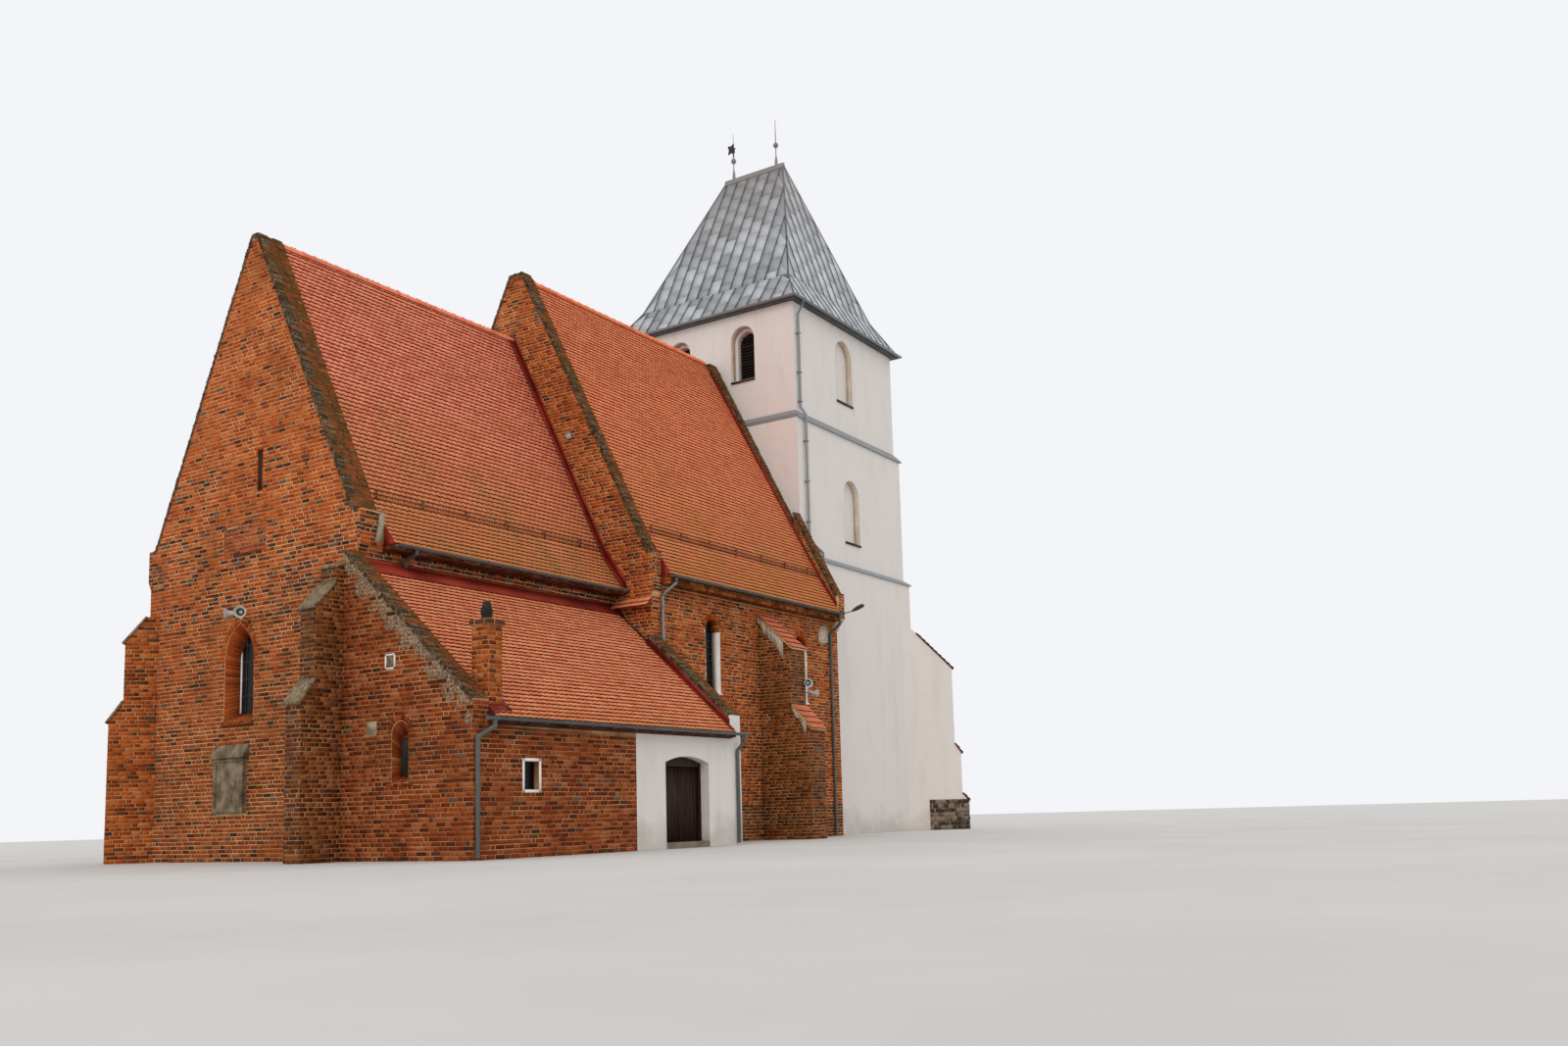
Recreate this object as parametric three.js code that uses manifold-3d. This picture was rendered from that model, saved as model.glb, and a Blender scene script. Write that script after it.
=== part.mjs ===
// A brick village church: chancel, lean-to sacristy with porch, nave and plastered west tower.
// Millimetres, +Z up. +X runs west along the church, -Y is the north side, Z = 0 is the ground.
// All sizes are given from the east face of the chancel (X = 0) and the church's axis (Y = 0);
// the whole group is moved at the end so that its origin is the middle of its footprint.

import * as THREE from "three";
import { mergeVertices } from "three/addons/utils/BufferGeometryUtils.js";
import Module from "manifold-3d";

const wasm = await Module();
wasm.setup();

// Driving dimensions
const GAP = 0.3;
const OVER = 10;

const chancel = {
  halfWidth: 3950,
  westX: 9180,
  wall: 700,
  wallTop: 7100,
  gableApex: 15900,
  gableSlope: 2.065,
  gableFlat: 120,
  copingRise: 250,
  kneeler: { top: 8000, steps: [7010, 7090, 7170], stepOut: 40 },
  roof: { ridge: 15600, knee: [3700, 8200], eave: [4420, 7230], shell: 300, seat: 3400 },
};

// The nave's own axis lies a little north of the chancel's
const nave = {
  y: -170,
  halfWidth: 5130,
  eastX: 9180,
  westX: 19670,
  wall: 700,
  gable: 400,
  wallTop: 7330,
  gableApex: 18250,
  gableSlope: 1.98,
  gableFlat: 260,
  westApex: 18100,
  westSlope: 1.95,
  westFlat: 240,
  westShoulder: { at: 3750, up: 650, leg: 230 },
  copingRise: 250,
  kneeler: { top: 8300, steps: [7050, 7130], stepOut: 35 },
  westKneeler: { top: 8300, steps: [7050, 7130, 7210, 7290, 7370, 7450], stepOut: 55 },
  roof: { ridge: 17670, knee: [4830, 8690], eave: [5510, 7610], shell: 320, seat: 4600 },
};

const naveWindow = { width: 760, sill: 4430, spring: 6290, depth: 320, northX: [12140, 17190] };
const chancelWindow = { width: 760, sill: 3300, spring: 5000, southX: [3200, 6700] };

const eastWindow = {
  y: 220,
  spring: 4900,
  near: { width: 1140, bottom: 3370, top: 5760 },
  far: { width: 660, bottom: 3560, top: 5480 },
  splay: 300,
};
const paneThick = 40;
const eastSlit = { y: -390, width: 270, bottom: 8940, top: 10030 };
const eastNiche = { y: 120, width: 1640, bottom: 7470, top: 8150, depth: 120 };

const sacristy = {
  eastX: -350,
  northY: -8000,
  wall: 450,
  plasterX: 5006,
  westX: 9480,
  westWall: 480,
  wallTop: 2800,
  roofTop: 6800,
  roofSlope: 0.905,
  roofShell: 170,
  eaveY: -8200,
  parapetTop: 7000,
  parapetLow: 3330,
};

const sacristySlit = {
  y: -5840,
  spring: 2725,
  near: { width: 550, bottom: 1650, top: 3000 },
  far: { width: 240, bottom: 1800, top: 2640 },
  splay: 200,
};
const sacristyWindow = { x0: 1163, x1: 1622, bottom: 1450, top: 2050 };

const porchDoor = {
  x0: 6156,
  x1: 7990,
  spring: 2130,
  crown: 2290,
  recess: 340,
  leafTop: 2085,
  leafThick: 60,
  frameThick: 80,
  frameWidth: 60,
  lining: 30,
  floor: 150,
  clear: 6,
  faceClear: 7.5,
};
const doorHinge = {
  off: 18,
  pin: 8,
  boss: 10,
  bore: 9.5,
  knuckle: 16,
  arm: 12,
  pinHeight: 80,
  knuckleHeight: 90,
  strap: { length: 650, thick: 8, bottom: 20, top: 75 },
  levels: [420, 1750],
};

const tower = {
  x: 23690,
  y: 200,
  inner: 3000,
  lower: { hx: 4170, hy: 4300, top: 9860 },
  middle: {
    hx: 4020,
    hy: 4130,
    top: 15030,
    niche: { x: 23545, width: 1170, bottom: 10890, spring: 12845, depth: 250 },
  },
  upper: {
    hx: 3870,
    hy: 3970,
    top: 19500,
    niche: { x: 23570, width: 1260, bottom: 16470, spring: 18420, depth: 250 },
  },
  eaveOut: 250,
  roofEave: 19610,
  roofKnee: { hx: 3190, hy: 3440, z: 20900 },
  ridge: { half: 1400, z: 27190 },
  roofShell: 260,
};

const gutter = { radius: 75, sheet: 8, drop: 10, off: 75 + GAP };

const belfry = {
  offsets: [-1750, 1190], width: 1060, sill: 16840, inner: 800, bottom: 16900, spring: 18500, step: 300,
};
const louvre = { board: 60, panel: 300, clear: 5, reach: 700, below: 100, above: 500 };
const chancelArch = { y: 0, width: 4200, spring: 4200 };
const towerArch = { y: tower.y, width: 2400, spring: 2600 };

const brick = { color: 0xa5552f, roughness: 0.93, metalness: 0 };
const plaster = { color: 0xd9d6d2, roughness: 0.9, metalness: 0 };
const tile = { color: 0xb86a4c, roughness: 0.8, metalness: 0 };
const zinc = { color: 0x8c8f91, roughness: 0.5, metalness: 0.6 };
const stone = { color: 0x99917f, roughness: 0.95, metalness: 0 };
const moss = { color: 0x6f6653, roughness: 0.98, metalness: 0 };
const darkWood = { color: 0x3a241c, roughness: 0.6, metalness: 0 };
const glass = { color: 0x23282b, roughness: 0.15, metalness: 0 };
const iron = { color: 0x3b3d3f, roughness: 0.6, metalness: 0.8 };

const church = new THREE.Group();

// Makes a named mesh of a geometry and adds it to the church
function addPart(name, geometry, look, parent = church) {
  const mesh = new THREE.Mesh(geometry, new THREE.MeshStandardMaterial(look));
  mesh.name = name;
  parent.add(mesh);
  return mesh;
}

// Makes a solid of a geometry, so that it can be joined and cut
function toSolid(geometry) {
  const bare = geometry.clone();
  bare.deleteAttribute("normal");
  bare.deleteAttribute("uv");
  const merged = mergeVertices(bare, 1e-3);
  const vertProperties = new Float32Array(merged.attributes.position.array);
  const triVerts = new Uint32Array(merged.index.array);
  return new wasm.Manifold(new wasm.Mesh({ numProp: 3, vertProperties, triVerts }));
}

// Makes a plain geometry of a solid
function toGeometry(solid) {
  const mesh = solid.getMesh();
  const geometry = new THREE.BufferGeometry();
  geometry.setAttribute("position", new THREE.BufferAttribute(mesh.vertProperties, 3));
  geometry.setIndex(new THREE.BufferAttribute(mesh.triVerts, 1));
  geometry.computeVertexNormals();
  return geometry;
}

function shapeOf(points) {
  return new THREE.Shape(points.map(([a, b]) => new THREE.Vector2(a, b)));
}

// An outline given as [y, z] points, run along X
function alongX(outline, x0, x1) {
  const geometry = new THREE.ExtrudeGeometry(shapeOf(outline), { depth: x1 - x0, bevelEnabled: false });
  const turn = new THREE.Matrix4().makeBasis(
    new THREE.Vector3(0, 1, 0),
    new THREE.Vector3(0, 0, 1),
    new THREE.Vector3(1, 0, 0),
  );
  geometry.applyMatrix4(turn);
  geometry.translate(x0, 0, 0);
  return geometry;
}

// A reveal along X that narrows towards its far end, where its width and height are scaled
function splayedAlongX(outline, x0, x1, middle, near, far) {
  const geometry = alongX(outline, x0, x1);
  const places = geometry.attributes.position;
  const across = far.width / near.width;
  const upward = (far.top - far.bottom) / (near.top - near.bottom);
  for (let i = 0; i < places.count; i += 1) {
    if (Math.abs(places.getX(i) - x1) < 1) {
      places.setY(i, middle + (places.getY(i) - middle) * across);
      places.setZ(i, far.bottom + (places.getZ(i) - near.bottom) * upward);
    }
  }
  return geometry;
}

// An outline given as [x, z] points, run along Y
function alongY(outline, y0, y1) {
  const geometry = new THREE.ExtrudeGeometry(shapeOf(outline), { depth: y1 - y0, bevelEnabled: false });
  const turn = new THREE.Matrix4().makeBasis(
    new THREE.Vector3(1, 0, 0),
    new THREE.Vector3(0, 0, 1),
    new THREE.Vector3(0, -1, 0),
  );
  geometry.applyMatrix4(turn);
  geometry.translate(0, y1, 0);
  return geometry;
}

// An outline given as [x, y] points, run up Z
function alongZ(outline, z0, z1) {
  const geometry = new THREE.ExtrudeGeometry(shapeOf(outline), { depth: z1 - z0, bevelEnabled: false });
  geometry.translate(0, 0, z0);
  return geometry;
}

function block(x0, x1, y0, y1, z0, z1) {
  const geometry = new THREE.BoxGeometry(x1 - x0, y1 - y0, z1 - z0);
  geometry.translate((x0 + x1) / 2, (y0 + y1) / 2, (z0 + z1) / 2);
  return geometry;
}

function cut(base, ...tools) {
  let solid = toSolid(base);
  for (const tool of tools) solid = solid.subtract(toSolid(tool));
  return toGeometry(solid);
}

function join(base, ...others) {
  let solid = toSolid(base);
  for (const other of others) solid = solid.add(toSolid(other));
  return toGeometry(solid);
}

// Outline of a round-headed opening, as [across, z] points
function roundHead(middle, width, bottom, spring, steps = 10) {
  const points = [
    [middle - width / 2, bottom],
    [middle + width / 2, bottom],
  ];
  for (let i = 0; i <= steps; i += 1) {
    const angle = (Math.PI * i) / steps;
    points.push([middle + (width / 2) * Math.cos(angle), spring + (width / 2) * Math.sin(angle)]);
  }
  return points;
}

// Outline of a pointed opening: two arcs that meet at the apex
function pointedHead(middle, width, bottom, spring, apex, steps = 6) {
  const half = width / 2;
  const rise = apex - spring;
  const radius = (half * half + rise * rise) / (2 * half);
  const sweep = Math.asin(Math.min(1, rise / radius));
  const points = [
    [middle - half, bottom],
    [middle + half, bottom],
  ];
  for (let i = 0; i <= steps; i += 1) {
    const angle = (sweep * i) / steps;
    points.push([middle + half - radius + radius * Math.cos(angle), spring + radius * Math.sin(angle)]);
  }
  for (let i = steps - 1; i >= 0; i -= 1) {
    const angle = (sweep * i) / steps;
    points.push([middle - half + radius - radius * Math.cos(angle), spring + radius * Math.sin(angle)]);
  }
  return points;
}

// Outline of an opening under a flat segmental arch
function segmentHead(x0, x1, bottom, spring, crown, steps = 8) {
  const half = (x1 - x0) / 2;
  const rise = crown - spring;
  const radius = (half * half + rise * rise) / (2 * rise);
  const sweep = Math.asin(half / radius);
  const middle = (x0 + x1) / 2;
  const points = [
    [x0, bottom],
    [x1, bottom],
  ];
  for (let i = 0; i <= steps; i += 1) {
    const angle = sweep - (2 * sweep * i) / steps;
    points.push([middle + radius * Math.sin(angle), crown - radius + radius * Math.cos(angle)]);
  }
  return points;
}

// One side of a gable's rake from its foot to the flat apex, as [out, z] points at a drop below
// the coping's top; a shoulder lifts the lower part of the rake
function rakeSide(spec, end, drop) {
  const { apex, slope, flat, shoulder } = spec;
  const level = (out) => apex - slope * out - drop;
  const points = [[flat, level(flat)]];
  let lift = 0;
  if (shoulder) {
    lift = shoulder.up;
    const at = drop > 0 ? shoulder.at + shoulder.leg : shoulder.at;
    points.unshift([at, level(at) + lift], [at, level(at)]);
  }
  points.unshift([end, level(end) + lift]);
  return points;
}

const mirrored = (points) => points.map(([out, z]) => [-out, z]).reverse();

// Gable wall with a corbelled kneeler at each foot, and its raking coping between the kneelers
function gable(name, x0, x1, spec, holes, recesses, bottomHole = []) {
  const { y, half, apex, slope, rise, kneeler, shoulder } = spec;
  const end = (apex + (shoulder ? shoulder.up : 0) - kneeler.top) / slope;
  const steps = kneeler.steps.flatMap((z, i) => [
    [half + i * kneeler.stepOut, z],
    [half + (i + 1) * kneeler.stepOut, z],
  ]);
  const reachOut = half + kneeler.steps.length * kneeler.stepOut;
  const side = [
    [half, 0],
    ...steps,
    [reachOut, kneeler.top],
    [end + GAP, kneeler.top],
    ...rakeSide(spec, end + GAP, rise + GAP),
  ];
  const placed = (points) => points.map(([out, z]) => [y + out, z]);
  const outline = [...placed(mirrored(side)), ...bottomHole, ...placed(side)];
  const through = holes.map((hole) => alongX(hole, x0 - OVER, x1 + OVER));
  addPart(`${name}_wall`, cut(alongX(outline, x0, x1), ...through, ...recesses), brick);
  const band = [...rakeSide(spec, end, 0), ...mirrored(rakeSide(spec, end, 0))];
  const under = [...rakeSide(spec, end, rise), ...mirrored(rakeSide(spec, end, rise))].reverse();
  addPart(`${name}_coping`, alongX(placed([...band, ...under]), x0, x1), moss);
}

// Pitched roof shell with a flatter foot at each eave, seated on the wall heads
function pitchedRoof(name, x0, x1, y, wallTop, spec) {
  const { ridge, knee, eave, shell, seat } = spec;
  const slope = (ridge - knee[1]) / knee[0];
  const foot = wallTop + GAP;
  const inner = ridge - shell - slope * seat;
  const outline = [
    [-eave[0], foot],
    [-seat, foot],
    [-seat, inner],
    [0, ridge - shell],
    [seat, inner],
    [seat, foot],
    [eave[0], foot],
    [eave[0], eave[1]],
    [knee[0], knee[1]],
    [0, ridge],
    [-knee[0], knee[1]],
    [-eave[0], eave[1]],
  ].map(([out, z]) => [y + out, z]);
  addPart(name, alongX(outline, x0, x1), tile);
}

// A half-round gutter along X, as a thin channel with closed ends left open to the sky
function gutterShape(x0, x1, y, top) {
  const radius = gutter.radius;
  const sheet = gutter.sheet;
  const steps = 8;
  const outline = [];
  for (let i = 0; i <= steps; i += 1) {
    const angle = Math.PI + (Math.PI * i) / steps;
    outline.push([y + radius * Math.cos(angle), top + radius * Math.sin(angle)]);
  }
  for (let i = steps; i >= 0; i -= 1) {
    const angle = Math.PI + (Math.PI * i) / steps;
    outline.push([y + (radius - sheet) * Math.cos(angle), top + (radius - sheet) * Math.sin(angle)]);
  }
  return alongX(outline, x0, x1);
}

// A round pipe through the given points
function pipe(points, radius = 50) {
  let solid = null;
  for (let i = 0; i < points.length - 1; i += 1) {
    const a = new THREE.Vector3(...points[i]);
    const b = new THREE.Vector3(...points[i + 1]);
    const geometry = new THREE.CylinderGeometry(radius, radius, a.distanceTo(b), 10);
    const turn = new THREE.Quaternion().setFromUnitVectors(
      new THREE.Vector3(0, 1, 0),
      b.clone().sub(a).normalize(),
    );
    geometry.applyQuaternion(turn);
    geometry.translate((a.x + b.x) / 2, (a.y + b.y) / 2, (a.z + b.z) / 2);
    const piece = toSolid(geometry);
    solid = solid ? solid.add(piece) : piece;
    if (i > 0) {
      const ball = new THREE.SphereGeometry(radius, 10, 6);
      ball.translate(a.x, a.y, a.z);
      solid = solid.add(toSolid(ball));
    }
  }
  return toGeometry(solid);
}

// Chancel
const chancelGable = {
  y: 0,
  half: chancel.halfWidth,
  apex: chancel.gableApex,
  slope: chancel.gableSlope,
  flat: chancel.gableFlat,
  rise: chancel.copingRise,
  kneeler: chancel.kneeler,
};
const eastLight = (trim) => pointedHead(
  eastWindow.y,
  eastWindow.far.width - 2 * trim,
  eastWindow.far.bottom + trim,
  eastWindow.spring,
  eastWindow.far.top - trim,
);
const eastOpenings = [
  eastLight(0),
  [
    [eastSlit.y - eastSlit.width / 2, eastSlit.bottom],
    [eastSlit.y + eastSlit.width / 2, eastSlit.bottom],
    [eastSlit.y + eastSlit.width / 2, eastSlit.top],
    [eastSlit.y - eastSlit.width / 2, eastSlit.top],
  ],
];
const eastRecesses = [
  block(-OVER, eastNiche.depth, eastNiche.y - eastNiche.width / 2, eastNiche.y + eastNiche.width / 2,
    eastNiche.bottom, eastNiche.top),
  splayedAlongX(
    pointedHead(
      eastWindow.y, eastWindow.near.width, eastWindow.near.bottom, eastWindow.spring, eastWindow.near.top,
    ),
    -OVER,
    eastWindow.splay,
    eastWindow.y,
    eastWindow.near,
    eastWindow.far,
  ),
];
gable("chancel_east", 0, chancel.wall, chancelGable, eastOpenings, eastRecesses);
addPart("east_window", alongX(eastLight(GAP), eastWindow.splay, eastWindow.splay + paneThick), glass);
const chancelX0 = chancel.wall + GAP;
const chancelX1 = chancel.westX - GAP;
addPart(
  "chancel_north_wall",
  block(chancelX0, chancelX1, -chancel.halfWidth, -chancel.halfWidth + chancel.wall, 0, chancel.wallTop),
  brick,
);
const chancelSouthHoles = chancelWindow.southX.map((x) =>
  roundHead(x, chancelWindow.width, chancelWindow.sill, chancelWindow.spring));
addPart(
  "chancel_south_wall",
  cut(
    block(chancelX0, chancelX1, chancel.halfWidth - chancel.wall, chancel.halfWidth, 0, chancel.wallTop),
    ...chancelSouthHoles.map((hole) =>
      alongY(hole, chancel.halfWidth - chancel.wall - OVER, chancel.halfWidth + OVER)),
  ),
  brick,
);
pitchedRoof("chancel_roof", chancelX0, chancelX1, 0, chancel.wallTop, chancel.roof);

// Buttresses of the chancel
const neButtress = {
  y0: -3950,
  y1: -3450,
  lower: { x: -1430, top: 3480 },
  upper: { x: -1090, foot: 3980, top: 5610 },
  neck: { x: -570, foot: 6200, top: 6560 },
  top: 6760,
};
addPart(
  "chancel_ne_buttress",
  alongY(
    [
      [neButtress.lower.x, 0],
      [neButtress.lower.x, neButtress.lower.top],
      [neButtress.upper.x, neButtress.upper.foot],
      [neButtress.upper.x, neButtress.upper.top],
      [neButtress.neck.x, neButtress.neck.foot],
      [neButtress.neck.x, neButtress.neck.top],
      [-GAP, neButtress.top],
      [-GAP, 0],
    ],
    neButtress.y0,
    neButtress.y1,
  ),
  brick,
);
const seButtress = {
  half: 300,
  back: 430,
  lower: { out: 830, top: 3580 },
  upper: { out: 500, foot: 4080, top: 5610 },
  top: 6250,
};
const seProfile = [
  [seButtress.lower.out, 0],
  [seButtress.lower.out, seButtress.lower.top],
  [seButtress.upper.out, seButtress.upper.foot],
  [seButtress.upper.out, seButtress.upper.top],
  [0, seButtress.top],
  [-seButtress.back, seButtress.top],
  [-seButtress.back, 0],
];
const seSolid = alongY(seProfile, -seButtress.half, seButtress.half);
seSolid.rotateZ((Math.PI * 3) / 4);
seSolid.translate(0, chancel.halfWidth, 0);
const chancelCorner = block(
  -GAP, chancel.westX, 0, chancel.halfWidth + GAP, -OVER, chancel.kneeler.top,
);
addPart("chancel_se_buttress", cut(seSolid, chancelCorner), brick);

// Sacristy and porch under one lean-to roof
const sacY0 = -chancel.halfWidth - GAP;
const parapetSlope = (sacristy.parapetTop - sacristy.parapetLow) / (sacY0 - sacristy.northY);
addPart(
  "sacristy_east_wall",
  cut(
    alongX(
      [
        [sacristy.northY, 0],
        [sacY0, 0],
        [sacY0, sacristy.parapetTop],
        [sacristy.northY, sacristy.parapetLow],
      ],
      sacristy.eastX,
      sacristy.eastX + sacristy.wall,
    ),
    splayedAlongX(
      roundHead(sacristySlit.y, sacristySlit.near.width, sacristySlit.near.bottom, sacristySlit.spring),
      sacristy.eastX - OVER,
      sacristy.eastX + sacristySlit.splay,
      sacristySlit.y,
      sacristySlit.near,
      sacristySlit.far,
    ),
    block(
      sacristy.eastX + sacristySlit.splay - OVER,
      sacristy.eastX + sacristy.wall + OVER,
      sacristySlit.y - sacristySlit.far.width / 2,
      sacristySlit.y + sacristySlit.far.width / 2,
      sacristySlit.far.bottom,
      sacristySlit.far.top - sacristySlit.far.width / 2,
    ),
  ),
  brick,
);
const sacX0 = sacristy.eastX + sacristy.wall + GAP;
const sacWall1 = sacristy.northY + sacristy.wall;
addPart(
  "sacristy_north_wall",
  cut(
    block(sacX0, sacristy.plasterX - GAP, sacristy.northY, sacWall1, 0, sacristy.wallTop),
    block(
      sacristyWindow.x0, sacristyWindow.x1, sacristy.northY - OVER, sacWall1 + OVER,
      sacristyWindow.bottom, sacristyWindow.top,
    ),
  ),
  brick,
);
const porchWestX = sacristy.westX - sacristy.westWall - GAP;
addPart(
  "porch_wall_east",
  block(sacristy.plasterX, porchDoor.x0, sacristy.northY, sacWall1, 0, sacristy.wallTop),
  plaster,
);
addPart(
  "porch_wall_west",
  block(porchDoor.x1, porchWestX, sacristy.northY, sacWall1, 0, sacristy.wallTop),
  plaster,
);
const overDoor = alongY(
  [
    [porchDoor.x0 + GAP, porchDoor.spring],
    ...segmentHead(porchDoor.x0 + GAP, porchDoor.x1 - GAP, 0, porchDoor.spring, porchDoor.crown)
      .slice(3, -1)
      .reverse(),
    [porchDoor.x1 - GAP, porchDoor.spring],
    [porchDoor.x1 - GAP, sacristy.wallTop],
    [porchDoor.x0 + GAP, sacristy.wallTop],
  ],
  sacristy.northY,
  sacWall1,
);
addPart("porch_wall_over_door", overDoor, plaster);
const naveNorth = nave.y - nave.halfWidth - GAP;
const westParapet = (y) => sacristy.roofTop + 300 - sacristy.roofSlope * (-y - chancel.halfWidth);
addPart(
  "porch_west_wall",
  alongX(
    [
      [sacristy.northY, 0],
      [naveNorth, 0],
      [naveNorth, westParapet(naveNorth)],
      [sacristy.northY, westParapet(sacristy.northY)],
    ],
    sacristy.westX - sacristy.westWall,
    sacristy.westX,
  ),
  plaster,
);
const leanTop = (y) => sacristy.roofTop - sacristy.roofSlope * (-y - chancel.halfWidth);
const leanOutline = [
  [sacY0, leanTop(sacY0)],
  [sacristy.eaveY, leanTop(sacristy.eaveY)],
  [sacristy.eaveY, leanTop(sacristy.eaveY) - 110],
  [sacristy.northY, sacristy.wallTop + GAP],
  [sacWall1, sacristy.wallTop + GAP],
  [sacWall1, leanTop(sacWall1) - sacristy.roofShell],
  [sacY0, leanTop(sacY0) - sacristy.roofShell],
];
const leanMain = alongX(leanOutline, sacX0, porchWestX);
const leanStrip = alongX(
  [
    [sacY0, leanTop(sacY0)],
    [naveNorth + 2 * GAP, leanTop(naveNorth + 2 * GAP)],
    [naveNorth + 2 * GAP, leanTop(naveNorth + 2 * GAP) - sacristy.roofShell],
    [sacY0, leanTop(sacY0) - sacristy.roofShell],
  ],
  porchWestX - 100,
  nave.eastX - GAP,
);
addPart("sacristy_roof", join(leanMain, leanStrip), tile);

const chimney = { x0: 130, x1: 560, y0: -7930, y1: -7470, top: 5000, cap: 5060, capOut: 50 };
const chimneyShaft = alongX(
  [
    [chimney.y0, leanTop(chimney.y0) + GAP],
    [chimney.y1, leanTop(chimney.y1) + GAP],
    [chimney.y1, chimney.top],
    [chimney.y0, chimney.top],
  ],
  chimney.x0,
  chimney.x1,
);
const chimneyCap = block(
  chimney.x0 - 25, chimney.x1 + chimney.capOut, chimney.y0 - chimney.capOut, chimney.y1 + chimney.capOut,
  chimney.top - 60, chimney.cap,
);
const chimneyPot = new THREE.CylinderGeometry(70, 110, 420, 12);
chimneyPot.rotateX(Math.PI / 2);
chimneyPot.translate((chimney.x0 + chimney.x1) / 2, (chimney.y0 + chimney.y1) / 2, chimney.cap + 200);
addPart("sacristy_chimney", join(chimneyShaft, chimneyCap, chimneyPot), brick);

// Floors: one through chancel, nave and tower, one in the sacristy and porch
const floorTop = porchDoor.floor;
addPart(
  "sacristy_floor",
  block(sacX0, porchWestX, sacWall1 + GAP, sacY0, 0, floorTop),
  stone,
);

addPart(
  "porch_threshold",
  block(porchDoor.x0 + GAP, porchDoor.x1 - GAP, sacristy.northY, sacWall1, 0, floorTop),
  stone,
);

// Porch door: a rebated frame with hinge pins, and two leaves that open inwards
const frameBack = sacristy.northY + porchDoor.recess - GAP;
const frameFront = frameBack - porchDoor.frameThick;
const frameFoot = floorTop + GAP;
const frameOutline = segmentHead(
  porchDoor.x0 + GAP, porchDoor.x1 - GAP, frameFoot, porchDoor.spring - 2 * GAP, porchDoor.crown - 2 * GAP,
);
const frameHole = block(
  porchDoor.x0 + porchDoor.frameWidth, porchDoor.x1 - porchDoor.frameWidth,
  frameFront - OVER, frameBack + OVER, 0, porchDoor.leafTop - 40,
);
const leafY0 = frameBack + porchDoor.faceClear;
const leafY1 = leafY0 + porchDoor.leafThick;
const leafMid = (porchDoor.x0 + porchDoor.x1) / 2;
const leafZ0 = floorTop + porchDoor.clear;
const pinY = leafY1 + doorHinge.off;

function uprightRod(radius, x, y, z0, z1) {
  const rod = new THREE.CylinderGeometry(radius, radius, z1 - z0, 12);
  rod.rotateX(Math.PI / 2);
  rod.translate(x, y, (z0 + z1) / 2);
  return rod;
}

// Everything on one jamb, mirrored about the middle of the doorway for the other
const doorSides = [["east", 1], ["west", -1]].map(([side, sign]) => {
  const jamb = sign > 0 ? porchDoor.x0 : porchDoor.x1;
  const at = (inward) => jamb + sign * inward;
  const span = (a, b, y0, y1, z0, z1) =>
    block(Math.min(at(a), at(b)), Math.max(at(a), at(b)), y0, y1, z0, z1);
  const edge = porchDoor.lining + porchDoor.clear;
  return { side, at, span, edge, pin: edge + doorHinge.off };
});
const frameParts = doorSides.flatMap(({ at, span, pin }) => [
  span(GAP, porchDoor.lining, frameFront, sacWall1, frameFoot, porchDoor.spring - 2 * GAP),
  ...doorHinge.levels.flatMap((z) => [
    span(porchDoor.lining - 5, pin, pinY - doorHinge.boss, pinY + doorHinge.boss, z - doorHinge.arm, z),
    uprightRod(doorHinge.boss, at(pin), pinY, z - doorHinge.arm, z),
    uprightRod(doorHinge.pin, at(pin), pinY, z - doorHinge.arm, z + doorHinge.pinHeight),
  ]),
]);
addPart(
  "porch_door_frame",
  join(cut(alongY(frameOutline, frameFront, frameBack), frameHole), ...frameParts),
  darkWood,
);
for (const { side, at, span, edge, pin } of doorSides) {
  const reachIn = Math.abs(leafMid - at(0)) - porchDoor.clear;
  const strap = doorHinge.strap;
  const ironwork = doorHinge.levels.flatMap((z) => [
    span(pin - 12, pin + strap.length, leafY1 - 1, leafY1 + strap.thick, z + strap.bottom, z + strap.top),
    uprightRod(doorHinge.knuckle, at(pin), pinY, z + GAP, z + doorHinge.knuckleHeight),
  ]);
  const bores = doorHinge.levels.map((z) =>
    uprightRod(doorHinge.bore, at(pin), pinY, z - OVER, z + doorHinge.knuckleHeight + OVER));
  addPart(
    `porch_door_${side}_leaf`,
    cut(join(span(edge, reachIn, leafY0, leafY1, leafZ0, porchDoor.leafTop), ...ironwork), ...bores),
    darkWood,
  );
}

// Nave
const naveEast = {
  y: nave.y,
  half: nave.halfWidth,
  apex: nave.gableApex,
  slope: nave.gableSlope,
  flat: nave.gableFlat,
  rise: nave.copingRise,
  kneeler: nave.kneeler,
};
const naveWest = {
  ...naveEast,
  apex: nave.westApex,
  slope: nave.westSlope,
  flat: nave.westFlat,
  kneeler: nave.westKneeler,
  shoulder: nave.westShoulder,
};
const archOutline = ({ y, width, spring }) => [
  [y - width / 2, 0],
  ...roundHead(y, width, 0, spring).slice(2).reverse(),
  [y + width / 2, 0],
];
gable("nave_east", nave.eastX, nave.eastX + nave.gable, naveEast, [], [], archOutline(chancelArch));
gable("nave_west", nave.westX - nave.gable, nave.westX, naveWest, [], [], archOutline(towerArch));
const naveX0 = nave.eastX + nave.gable + GAP;
const naveX1 = nave.westX - nave.gable - GAP;
const naveHoles = naveWindow.northX.map((x) =>
  roundHead(x, naveWindow.width, naveWindow.sill, naveWindow.spring));
const naveButtress = {
  x0: 14620,
  x1: 15480,
  lower: { out: 6930, top: 3400 },
  upper: { out: 6310, foot: 4110, top: 5930 },
  top: 7020,
};

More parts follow.
